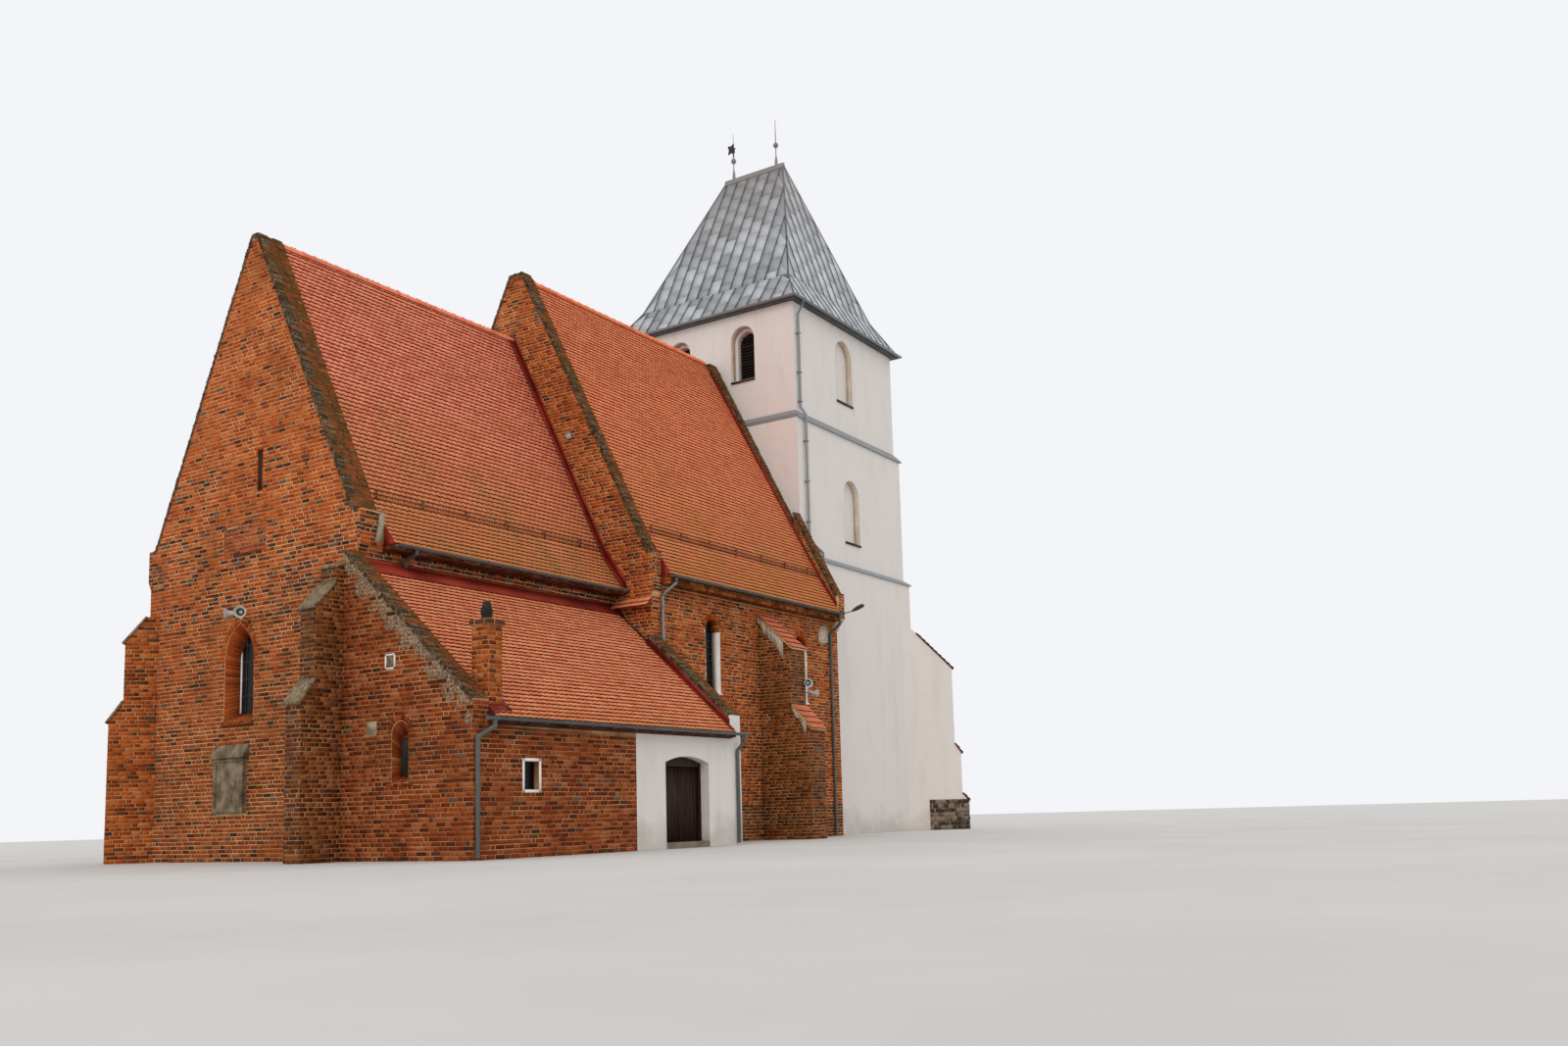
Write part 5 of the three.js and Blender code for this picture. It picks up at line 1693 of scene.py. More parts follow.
    def kneelers(self, bricks: Heap) -> None:
        """Lays both kneelers, their corbels and the mortar over their backs.

        Args:
            bricks: Where the bricks go.
        """
        corbel = Bond(lengths=(0.08,), shift=0.04, proud=0.02, rough=0.02, odd=0.2)
        for side in (-1, 1):
            face = Face.side(side * self.kneeler, side)
            lay(bricks, face, [[(0.0, 7.27), (0.50, 7.27), (0.62, 7.99), (0.0, 7.99)]], Bond(odd=0.8),
                seed=103)
            face.plate(bricks, [(0.42, 7.27), (0.70, 7.27), (0.70, 7.99), (0.55, 7.99), (0.50, 7.6)], 0.009,
                       0.012, 3)
            lay(bricks, face, [rect(0.0, self.thick, 7.17, 7.27)], corbel, seed=103)
            for out, low in ((3.99, 7.01), (4.03, 7.09)):
                lay(bricks, Face.side(side * out, side), [rect(0.0, self.thick, low, low + 0.08)],
                    Bond(course=0.08, odd=0.5), seed=104)

    def sides(self, bricks: Heap) -> None:
        """Lays the strip of north wall above the lean-to, and the south wall with its window arches.

        Args:
            bricks: Where the bricks go.
        """
        # Most of this strip's bricks take the darker second finish: painted shade under the eaves.
        lay(bricks, Face.north(-self.half), [rect(0.0, self.west, 6.82, 7.1)], Bond(odd=0.7), seed=106)
        south = Face.south(self.half)
        width, _, spring = self.south_window
        openings = [round_head(x, *self.south_window, self.ring) for x in self.south_windows]
        lay(bricks, south, [rect(0, self.west, 0, 7.1), *openings], seed=105)
        for x in self.south_windows:
            voussoirs(bricks, south, (x, spring), width / 2, self.ring, 0, 180, 19)

    def gable_coping(self) -> None:
        """Lays the gable's mossy coping."""
        heap = Heap()
        line = [(-3.826, 8.0), (-0.12, 15.652), (0.12, 15.652), (3.826, 8.0)]
        rake(heap, 0.0, self.thick, [(-self.kneeler, 8.0), line[0]], 120)
        rake(heap, 0.0, self.thick, line, 121)
        rake(heap, 0.0, self.thick, [line[-1], (self.kneeler, 8.0)], 125)
        heap.piece("chancel_coping_bricks", [Surface.COPING, Surface.COPING_END], "coping_brick")
        dress_nodes(Surface.WASH, "chancel_east_coping")

    def buttresses(self) -> None:
        """Lays the two buttresses of the east end."""
        bricks, tops = Heap(), Heap()
        profile = [(1.43, 0), (1.43, 3.48), (1.09, 3.98), (1.09, 5.61), (0.57, 6.2), (0.57, 6.56), (0, 6.76),
                   (0, 0)]
        slopes = [((1.47, 3.46), (1.09, 3.99)), ((1.12, 5.60), (0.57, 6.21)), ((0.60, 6.56), (0.02, 6.77))]
        stepped_pier(bricks, tops, (0.0, -3.70), (-1.0, 0.0), 0.25, profile, slopes, 130)
        way = (-math.sqrt(0.5), math.sqrt(0.5))
        profile = [(0.83, 0), (0.83, 3.58), (0.50, 4.08), (0.50, 5.61), (0.0, 6.25), (-0.43, 6.25),
                   (-0.43, 0)]
        slopes = [((0.86, 3.56), (0.50, 4.09)), ((0.53, 5.59), (0.0, 6.25))]
        south = Heap()
        stepped_pier(south, tops, (0.0, self.half), way, 0.30, profile, slopes, 140)
        south.piece("chancel_se_buttress_bricks", [Surface.WALL_BRICK, Surface.BURNT_AND_SHADE_BRICK], "brick")
        bricks.piece("chancel_buttress_bricks", [Surface.ALGAE_AND_SHADE_BRICK, Surface.BURNT_AND_SHADE_BRICK], "brick")
        tops.piece("chancel_buttress_weatherings", [Surface.SLAB], "coping_brick")
        dress_nodes(Surface.SOOTY_MORTAR, "chancel_ne_buttress", "chancel_se_buttress")

    def glass(self) -> None:
        """Adds the lead and the reveals of the chancel's windows."""
        lead, plaster = Heap(), Heap()
        east = Face.east(0.0)
        glazing_bars(lead, east, pointed_head(0.22, 0.65, 3.57, 4.9, 5.47), -0.285, (0.22, 0.42), 0.016)
        east.plate(plaster, [(0.50, 3.58), (0.54, 3.58), (0.54, 4.95), (0.50, 5.1)], -0.27, 0.03)
        # Nearly black panes deep in the slits: painted shade.
        slit = Heap()
        east.plate(slit, rect(-0.524, -0.256, 8.941, 10.029), -0.035, 0.02)
        Face.east(-0.35).plate(slit, round_head(-5.84, 0.26, 1.80, 2.48), -0.15, 0.02)
        slit.piece("dark_slit_panes", [Surface.SOOT_AND_SHADE], "glass")
        south = Face.south(self.half)
        for x in self.south_windows:
            outline = round_head(x, 0.75, 3.31, 5.0)
            glazing_bars(lead, south, outline, -0.305, (0.18, 0.2))
            lining(plaster, south, outline, 0.31)
        lead.piece("chancel_window_leads", [Surface.LEAD_AND_SHADE], "glass")
        plaster.piece("chancel_window_reveals", [Surface.REVEAL], "plaster")
        dress_nodes(Surface.GLASS, "east_window", "chancel_south_window_1", "chancel_south_window_2")

    def tablet(self) -> None:
        """Adds the moulded frame of the plain tablet."""
        heap, face = Heap(), Face.east(-0.09)
        for edges in ((-0.16, 0.98, 2.38, 2.47), (-0.16, 0.98, 1.16, 1.28), (-0.16, -0.06, 1.28, 2.38),
                      (0.88, 0.98, 1.28, 2.38)):
            face.plate(heap, rect(*edges), 0.03, 0.04)
        heap.piece("tablet_moulding", [Surface.SANDSTONE], "stone")
        dress_nodes(Surface.SANDSTONE, "east_stone_tablet")


@dataclass
class Sacristy:
    """The lean-to sacristy and porch: walls, parapets, roof, chimney and doors.

    Attributes:
        east: Its east face.
        north: Its north face.
        slope: How steep the lean-to roof is.
        slit: The slit's middle, width, sill and spring in the east wall's face.
        window: The small north window's sides, sill and head.
        boards: Number of boards on each door leaf.
        gap: Half the gap between two boards.
    """

    east: float = -0.35
    north: float = -8.0
    slope: float = 0.905
    slit: tuple[float, ...] = (-5.84, 0.55, 1.65, 2.725)
    window: tuple[float, ...] = (1.15, 1.63, 1.44, 2.06)
    boards: int = 6
    gap: float = 0.003

    def top(self, y: float) -> float:
        """Returns the roof's level at this y."""
        return 6.8 - self.slope * (-y - CHANCEL_HALF)

    def build(self) -> None:
        """Builds and dresses the sacristy's pieces."""
        self.walls()
        self.vent()
        self.trim()
        self.parapets()
        self.roof()
        self.chimney()
        self.doors()

    def walls(self) -> None:
        """Lays the bricks of the east, north and west walls."""
        bricks, washed = Heap(), Heap()
        east = Face.east(self.east)
        outline = [(self.north, 0), (-CHANCEL_HALF, 0), (-CHANCEL_HALF, 6.96), (self.north, 3.30)]
        patches = [rect(-5.07, -4.68, 0.9, 2.72), rect(-5.67, -5.36, 4.13, 4.45),
                   rect(-5.10, -4.79, 2.73, 3.02)]
        lay(washed, east, [outline, round_head(*self.slit, 0.12), *patches], Bond(odd=0.06), seed=201)
        washed.piece("sacristy_east_bricks", [Surface.WASHED_BRICK, Surface.BURNT_AND_SHADE_BRICK], "brick")
        lay(bricks, east, [patches[0]], Bond(odd=0.0, lengths=(0.19,), shift=0.095, proud=0.004), seed=202)
        east.plate(bricks, patches[2], 0.008, 0.05, 2)
        self.slit_bricks(bricks, east)
        lay(bricks, Face.north(self.north),
            [[(self.east, 0), (5.0, 0), (5.0, 2.79), (0.1, 2.79), (0.1, 3.32), (self.east, 3.32)],
             rect(*self.window)], seed=203)
        lay(bricks, Face.west(0.1), [[(self.north, 2.9), (self.north, 3.2), (-4.0, 6.82), (-4.0, 6.6)]],
            seed=204)
        bricks.piece("sacristy_bricks", [Surface.SOOTY_BRICK, Surface.BURNT_AND_SHADE_BRICK, Surface.PALE_STONE],
                     "brick")

    def slit_bricks(self, bricks: Heap, east: Face) -> None:
        """Lays the slit's arch, its splayed reveal and its sill.

        Args:
            bricks: Where the bricks go.
            east: The wall's face.
        """
        middle, width, sill, spring = self.slit
        voussoirs(bricks, east, (middle, spring), width / 2, 0.12, 0, 180, 13)
        near = round_head(*self.slit)
        far = [(middle + (s - middle) * 0.24 / width, 1.80 + (t - sill) * 0.84 / 1.35) for s, t in near]
        reveal(bricks, east, near, far, 0.2)
        lay(bricks, east, [rect(-6.24, -5.44, 1.57, 1.655)],
            Bond(course=0.085, lengths=(0.12,), shift=0.0, proud=0.012, odd=0.1), seed=207)
        lay(bricks, Face.east(self.east + 0.165),
            [round_head(middle, 0.5, 1.70, 2.70), round_head(middle, 0.24, 1.80, 2.46)], Bond(odd=0.0), 206)

    def vent(self) -> None:
        """Adds the white vent grille in the east wall."""
        heap, east = Heap(), Face.east(self.east)
        for k in range(5):
            t = 4.17 + k * 0.053
            east.plate(heap, rect(-5.63, -5.40, t, t + 0.012), 0.014, 0.02, 1)
        for s in (-5.67, -5.39):
            east.plate(heap, rect(s, s + 0.03, 4.13, 4.45), 0.025, 0.03)
        for t in (4.13, 4.43):
            east.plate(heap, rect(-5.67, -5.36, t, t + 0.03), 0.025, 0.03)
        east.plate(heap, rect(-5.65, -5.38, 4.15, 4.44), 0.006, 0.02, 1)
        heap.piece("sacristy_vent_grille", [Surface.REVEAL, Surface.SLAB], "plaster")

    def trim(self) -> None:
        """Adds the plaster round the north window, and dresses the walls."""
        heap, north = Heap(), Face.north(self.north)
        lining(heap, north, rect(*self.window), 0.15)
        for edges in ((1.13, 1.65, 1.38, 1.44), (1.13, 1.65, 2.06, 2.12), (1.10, 1.16, 1.38, 2.12),
                      (1.62, 1.68, 1.38, 2.12)):
            north.plate(heap, rect(*edges), 0.012, 0.02)
        heap.piece("sacristy_window_trim", [Surface.REVEAL], "plaster")
        dress_nodes(Surface.GLASS, "sacristy_window")
        dress_nodes(Surface.SOOTY_MORTAR, "sacristy_east_wall", "sacristy_north_wall")
        dress_nodes(Surface.RENDER, "porch_wall_east", "porch_wall_west", "porch_wall_over_door",
                    "porch_west_wall")

    def parapets(self) -> None:
        """Lays the raking wall heads at both ends."""
        heap = Heap()
        rake(heap, self.east, 0.10, [(self.north, 3.33), (-3.96, 6.99)], 210)
        rake(heap, 9.0, 9.48, [(self.north, 3.435), (-5.31, 5.869)], 212)
        heap.piece("sacristy_parapet_bricks", [Surface.COPING, Surface.COPING_END], "coping_brick")

    def roof(self) -> None:
        """Lays the lean-to roof's tiles and flashings."""
        tiles = Heap()
        PlainTile().cover(tiles, 0.105, 8.995, [(-3.97, self.top(-3.97)), (-8.2, self.top(-8.2))], 31)
        tiles.piece("sacristy_tiles", [Surface.SACRISTY_TILE, Surface.TILE_SOOT_AND_SHADE], "roof_tile")
        red = Heap()
        head, foot = (0.11, -3.96, self.top(-3.96)), (0.11, -4.30, self.top(-4.30))
        Face.sloped(foot, head, ALONG).plate(red, rect(0, 9.06, 0, 0.45), 0.045, 0.02, 1)
        Face.north(-3.96).plate(red, rect(0.11, 9.17, 6.75, 6.88), 0.015, 0.012, 1)
        for face, start, end, high in ((Face.west(0.10), 0.10, -4.05, 0.16),
                                       (Face.east(9.0), 8.86, -5.31, 0.2)):
            line = [(self.north, self.top(self.north)), (end, self.top(end))]
            face.plate(red, [*line, *[(y, z + high) for y, z in line[::-1]]], 0.014, 0.012)
            foot, head = (start, -8.15, self.top(-8.15)), (start, end, self.top(end))
            Face.sloped(foot, head, ALONG).plate(red, rect(0, 0.14, 0, math.dist(foot, head)), 0.04, 0.012)
        red.piece("sacristy_red_flashing", [Surface.RED_SHEET, Surface.CHALKED_SHEET], "iron")
        cap = Heap()
        slope = Face.sloped((8.90, -5.36, 6.66), (9.17, -5.36, 6.93), ACROSS)
        tile_rows(cap, slope, 1.28, 0.38, 2, 215)
        cap.piece("wall_stub_cap_tiles", [Surface.SACRISTY_TILE, Surface.TILE_SOOT_AND_SHADE], "roof_tile")
        dress_nodes(Surface.TILE_BED_SHADE, "sacristy_roof")

    def chimney(self) -> None:
        """Lays the chimney's bricks, its flashing and its pot."""
        bricks = Heap()
        shaft(bricks, (0.13, 0.56, -7.93, -7.47), 3.2, 4.93,
              Bond(lengths=(0.22, 0.12), shift=0.17, odd=0.03), 220)
        shaft(bricks, (0.105, 0.61, -7.98, -7.42), 4.94, 5.06, Bond(course=0.12, odd=0.9), 221)
        bricks.piece("chimney_bricks", [Surface.WALL_BRICK, Surface.BURNT_AND_SHADE_BRICK], "brick")
        pot = Heap()
        middle = (0.345, -7.70)
        pot.tube([(*middle, z) for z in (5.055, 5.09, 5.14, 5.19, 5.26, 5.33, 5.40, 5.46, 5.476)],
                 [0.135, 0.12, 0.108, 0.128, 0.132, 0.108, 0.09, 0.08, 0.02], 14)
        pot.piece("chimney_pot", [Surface.SOOT_AND_SHADE], "iron", smooth=35)
        red = Heap()
        foot, head = (0.11, -8.06, self.top(-8.06)), (0.11, -7.34, self.top(-7.34))
        face = Face.sloped(foot, head, ALONG)
        length = math.dist(foot, head)
        for edges in ((0.0, 0.60, 0.0, 0.17), (0.45, 0.60, 0.0, length), (0.0, 0.60, length - 0.16, length)):
            face.plate(red, rect(*edges), 0.05, 0.015)
        red.piece("chimney_red_flashing", [Surface.RED_SHEET], "iron")
        dress_nodes(Surface.SOOTY_MORTAR, "sacristy_chimney")

    def doors(self) -> None:
        """Adds the door leaves' boards and the pull handle."""
        for side, x0, x1 in (("east", 6.225, 7.062), ("west", 7.084, 7.921)):
            heap = Heap()
            wide = (x1 - x0) / self.boards
            for k in range(self.boards):
                a = x0 + k * wide + self.gap
                heap.box(a, a + wide - 2 * self.gap, -7.6585, -7.650, 0.16, 2.04)
            heap.piece(f"porch_door_{side}_boards", [Surface.DOOR], "dark_wood", f"porch_door_{side}")
            dress_nodes(Surface.DOOR, f"porch_door_{side}_leaf")
        handle = Heap()
        handle.tube([(7.04, -7.655, 1.12), (7.04, -7.70, 1.12), (7.04, -7.70, 1.30), (7.04, -7.655, 1.30)],
                    [0.009] * 4, 8)
        handle.box(7.02, 7.06, -7.6625, -7.6575, 1.08, 1.34)
        handle.piece("porch_door_handle", [Surface.IRON], "iron", "porch_door_east", smooth=40)
        dress_nodes(Surface.DOOR, "porch_door_frame")
        dress_nodes(Surface.FLAGSTONE, "porch_threshold", "sacristy_floor", "church_floor")


@dataclass
class Nave:
    """The nave: two parapet gables, side walls, buttresses, windows and roof.

    Attributes:
        east: Its east end.
        west: Its west end.
        gable: The gable walls' thickness.
        half: Half its width.
        windows: The side windows' middles.
        window: Their width, sill and spring.
        ring: Height of the arches' brick rings.
        pier: The buttresses' middle.
        pier_half: Half their width.
    """

    east: float = 9.18
    west: float = 19.67
    gable: float = 0.40
    half: float = 5.13
    windows: Point2 = (12.14, 17.19)
    window: Point3 = (0.76, 4.43, 6.29)
    ring: float = 0.14
    pier: float = 15.05
    pier_half: float = 0.43

    def line(self, apex: float, slope: float, flat: float, end: float,
             shoulder: Point2 | None = None) -> Outline:
        """Works out the south half of a gable's line.

        Args:
            apex: The level where its slopes would meet.
            slope: How steep it is.
            flat: Half its flat top.
            end: The distance from the axis where it ends.
            shoulder: Distance and height of a step up, if any.

        Returns:
            Points from the top to the foot, as distance from the axis and level.
        """
        points = [(flat, apex - slope * flat)]
        lift = 0.0
        if shoulder:
            at, lift = shoulder
            points += [(at, apex - slope * at), (at, apex - slope * at + lift)]
        return [*points, (end, apex - slope * end + lift)]

    def on_side(self, side: int, line: Sequence[Point2]) -> Outline:
        """Returns a line given as distance from the axis and level, as y and z on this side."""
        return [(NAVE_AXIS + side * d, z) for d, z in line]

    def mirrored(self, half: Outline) -> Outline:
        """Returns a line from north to south through the given south half and its mirror image."""
        return [*self.on_side(-1, half)[::-1], *self.on_side(1, half)]

    def build(self) -> None:
        """Builds and dresses the nave's pieces."""
        self.gables()
        self.flashings()
        self.walls()
        self.copings()
        self.piers()
        self.glass()
        roof = Roof("nave", self.east + self.gable, self.west - self.gable, NAVE_AXIS, 17.67, (4.83, 8.69),
                    (5.51, 7.61), Surface.NAVE_TILE, 4.72)
        roof.build()
        cornice = Heap()
        roof.cornice(cornice, 7.33, self.half)
        cornice.piece("nave_cornice", [Surface.WALL_BRICK, Surface.ALGAE_AND_SHADE_BRICK, Surface.RED_SHEET], "brick")

    def gables(self) -> None:
        """Lays both gables' bricks."""
        bricks = Heap()
        half = [*self.line(18.12, 1.98, 0.26, 5.025)[:-1], (5.025, 8.17), (5.025, 8.3), (5.20, 8.3),
                (5.20, 7.13), (5.165, 7.05), (5.13, 7.05), (5.13, 0.0)]
        chancel = [(-3.96, 0.001), (3.96, 0.001), (3.96, 7.1), (4.42, 7.10), (4.42, 7.23), (3.70, 8.20),
                   (0.0, 15.6), (-3.70, 8.20), (-4.42, 7.23), (-4.42, 7.1), (-3.96, 7.1)]
        porch = [(-5.301, 0.001), (-3.961, 0.001), (-3.961, 6.8), (-5.301, 5.58)]
        lay(bricks, Face.east(self.east), [self.mirrored(half), chancel, porch], seed=301)
        for side, inner in ((-1, 3.95), (1, 4.69)):
            at = max(inner, 3.98)
            head = 18.5 - 1.95 * at
            strip = [(inner, 0.0), (5.13, 0.0), (5.13, 7.05), (5.46, 7.45), (5.46, 8.3), (5.359, 8.3),
                     (5.359, 8.05), (at, head), (inner, head)]
            lay(bricks, Face.west(self.west), [self.on_side(side, strip)], seed=302)
        over = [(0.24, 17.382), (0.24, 17.224), (4.83, 8.70), (5.35, 7.9), (5.35, 8.05), (3.98, 10.739),
                (3.98, 10.089)]
        for side in (-1, 1):
            lay(bricks, Face.east(self.west - self.gable), [self.on_side(side, over)], seed=303)
        for at, out, low in ((self.east, 5.20, 7.13), (self.west - self.gable, 5.46, 7.45)):
            for side in (-1, 1):
                face = Face.side(NAVE_AXIS + side * out, side)
                lay(bricks, face, [rect(at, at + self.gable, low, 8.3)], Bond(odd=0.4), seed=304)
        bricks.piece("nave_gable_bricks", [Surface.WALL_BRICK, Surface.BURNT_AND_SHADE_BRICK], "brick")
        dress_nodes(Surface.MORTAR, "nave_east_wall", "nave_west_wall", *SIDE_WALLS)

    def flashings(self) -> None:
        """Lays the red flashings where the roofs meet the gables."""
        red = Heap()
        for side in (-1, 1):
            for (d0, z0), (d1, z1) in (((0.02, 15.66), (3.70, 8.26)), ((3.70, 8.26), (4.42, 7.29))):
                line = ((d0, z0 + 0.02), (d1, z1 + 0.02), (d1, z1 + 0.24), (d0, z0 + 0.24))
                Face.east(self.east).plate(red, [(side * d, z) for d, z in line], 0.016, 0.014)
                foot, head = (self.east - 0.20, side * d1, z1), (self.east - 0.20, side * d0, z0)
                length = math.dist((d0, z0), (d1, z1))
                Face.sloped(foot, head, ALONG).plate(red, rect(0, 0.19, 0, length), 0.03, 0.012)
            for (d0, z0), (d1, z1) in (((0.24, 17.26), (4.83, 8.72)), ((4.83, 8.72), (5.40, 7.82))):
                strip = self.on_side(side, [(d0, z0), (d1, z1), (d1, z1 + 0.2), (d0, z0 + 0.2)])
                Face.east(self.west - self.gable).plate(red, strip, 0.02, 0.014)
            strip = self.on_side(side, [(0.26, 17.20), (4.83, 8.70), (4.83, 8.76), (0.26, 17.26)])
            Face.west(self.east + self.gable).plate(red, strip, 0.014, 0.012)
        red.piece("nave_red_flashing", [Surface.RED_SHEET], "iron")

    def walls(self) -> None:
        """Lays the side walls' bricks with their window arches."""
        bricks, low_bricks = Heap(), Heap()
        width, sill, spring = self.window
        plinth = 1.1
        for side in (-1, 1):
            face = Face.side(NAVE_AXIS + side * self.half, side)
            start, end = self.east + self.gable, self.west - self.gable
            outline = [(self.east, plinth), (self.west, plinth), (self.west, 7.05), (end, 7.05), (end, 7.32),
                       (start, 7.32), (start, 7.05), (self.east, 7.05)]
            pier = rect(14.63, 15.47, plinth + 0.001, 7.01)
            holes = [round_head(x, width, sill, spring, self.ring) for x in self.windows]
            if side < 0:
                holes.append(rect(self.east - 0.001, 9.48, plinth + 0.002, 5.66))
            lay(bricks, face, [outline, pier, *holes], Bond(odd=0.09), seed=310 + side)
            for x in self.windows:
                voussoirs(bricks, face, (x, spring), width / 2, self.ring, 0, 180, 19)
                mouth = round_head(x, width, sill, spring)
                reveal(bricks, face, mouth, mouth, 0.3, above=spring)
            start = 9.49 if side < 0 else self.east
            for a, b in ((start, 14.62), (15.48, self.west)):
                lay(low_bricks, face, [rect(a, b, 0.0, plinth)], Bond(odd=0.15), seed=320 + side)
        bricks.piece("nave_wall_bricks", [Surface.WALL_BRICK, Surface.BURNT_AND_SHADE_BRICK], "brick")
        low_bricks.piece("nave_plinth_bricks", [Surface.ALGAE_AND_SHADE_BRICK, Surface.BURNT_AND_SHADE_BRICK], "brick")

    def copings(self) -> None:
        """Lays both gables' mossy copings."""
        for name, x0, half, out, seed in (
            ("east", self.east, self.line(18.25, 1.98, 0.26, 5.025), 5.20, 330),
            ("west", self.west - self.gable, self.line(18.1, 1.95, 0.24, 5.359, (3.75, 0.65)), 5.46, 340),
        ):
            heap = Heap()
            line = self.mirrored(half)
            for i, ((y0, z0), (y1, z1)) in enumerate(zip(line[:-1], line[1:])):
                if abs(y0 - y1) < 1e-6:
                    continue
                rake(heap, x0, x0 + self.gable, [(y0, z0), (y1, z1)], seed + i)
            for side in (-1, 1):
                ends = sorted((NAVE_AXIS + side * half[-1][0], NAVE_AXIS + side * out))
                rake(heap, x0, x0 + self.gable, [(ends[0], 8.3), (ends[1], 8.3)], seed + 8)
            heap.piece(f"nave_{name}_coping_bricks", [Surface.COPING, Surface.COPING_END], "coping_brick")
            dress_nodes(Surface.COPING, f"nave_{name}_coping")

    def piers(self) -> None:
        """Lays the two nave buttresses."""
        bricks, tops = Heap(), Heap()
        profile = [(6.93, 0), (6.93, 3.40), (6.31, 4.11), (6.31, 5.93), (5.13, 7.02), (5.13, 0)]
        slopes = [((6.97, 3.36), (6.31, 4.12)), ((6.35, 5.90), (5.13, 7.02))]
        for side in (-1.0, 1.0):
            stepped_pier(bricks, tops, (self.pier, NAVE_AXIS), (0.0, side), self.pier_half, profile, slopes,
                         350)
        bricks.piece("nave_buttress_bricks", [Surface.ALGAE_AND_SHADE_BRICK, Surface.BURNT_AND_SHADE_BRICK], "brick")
        tops.piece("nave_buttress_weatherings", [Surface.MORTAR], "roof_tile")
        self.ribs(slopes)
        dress_nodes(Surface.SOOTY_MORTAR, "nave_north_buttress", "nave_south_buttress")

    def ribs(self, slopes: Sequence[tuple[Point2, Point2]]) -> None:
        """Lays rows of tiles on the buttresses' slopes, and mortar below their east edges.

        Args:
            slopes: Each slope from foot to head, as distance from the axis and level.
        """
        tiles, mortar = Heap(), Heap()
        edge = self.pier - self.pier_half
        rng = np.random.default_rng(355)
        Face.north(NAVE_AXIS - self.half).plate(
            mortar, [(18.35, 6.62), (18.62, 6.50), (19.05, 6.58), (19.12, 6.95), (18.9, 7.18), (18.5, 7.1)],
            0.012, 0.014)
        for side in (-1.0, 1.0):
            for (out0, z0), (out1, z1) in slopes:
                foot = (edge, NAVE_AXIS + side * out0, z0)
                head = (edge, NAVE_AXIS + side * out1, z1)
                length = math.dist(foot, head)
                slope = Face.sloped(foot, head, ALONG)
                tile_rows(tiles, slope, 2 * self.pier_half, length, round(length / 0.27), 356)
                share = np.linspace(0.24, 1.0, 13)
                ragged = (0.60 - 0.36 * share) * length / 1.66 + rng.uniform(-0.06, 0.06, 13)
                ragged[0] *= 1.25
                upper = [(NAVE_AXIS + side * (out0 + (out1 - out0) * s), z0 + (z1 - z0) * s) for s in share]
                lower = [(y, z - drop) for (y, z), drop in zip(upper, ragged)]
                for i in range(12):
                    patch = [upper[i], upper[i + 1], lower[i + 1], lower[i]]
                    Face.east(edge).plate(mortar, patch, 0.014 + 0.006 * (i % 2), 0.016)
        tiles.piece("nave_buttress_tiles", [Surface.PIER_TILE, Surface.TILE_SOOT_AND_SHADE], "roof_tile")
        mortar.piece("nave_buttress_mortar", [Surface.SMEAR], "coping_brick")

    def glass(self) -> None:
        """Adds the lead and the white reveals of the nave's windows."""
        lead, plaster = Heap(), Heap()
        width, sill, spring = self.window
        for label, side in (("north", -1), ("south", 1)):
            face = Face.side(NAVE_AXIS + side * self.half, side)
            for i, x in enumerate(self.windows):
                outline = round_head(x, width - 0.01, sill + 0.005, spring)
                glazing_bars(lead, face, outline, -0.305, (0.18, 0.2))
                lining(plaster, face, outline, 0.31, top=spring)
                face.plate(plaster, rect(x - 0.42, x + 0.42, sill - 0.06, sill), 0.03, 0.05)
                dress_nodes(Surface.GLASS, f"nave_{label}_window_{i + 1}")
        lead.piece("nave_window_leads", [Surface.LEAD_AND_SHADE], "glass")
        plaster.piece("nave_window_reveals", [Surface.REVEAL], "plaster")


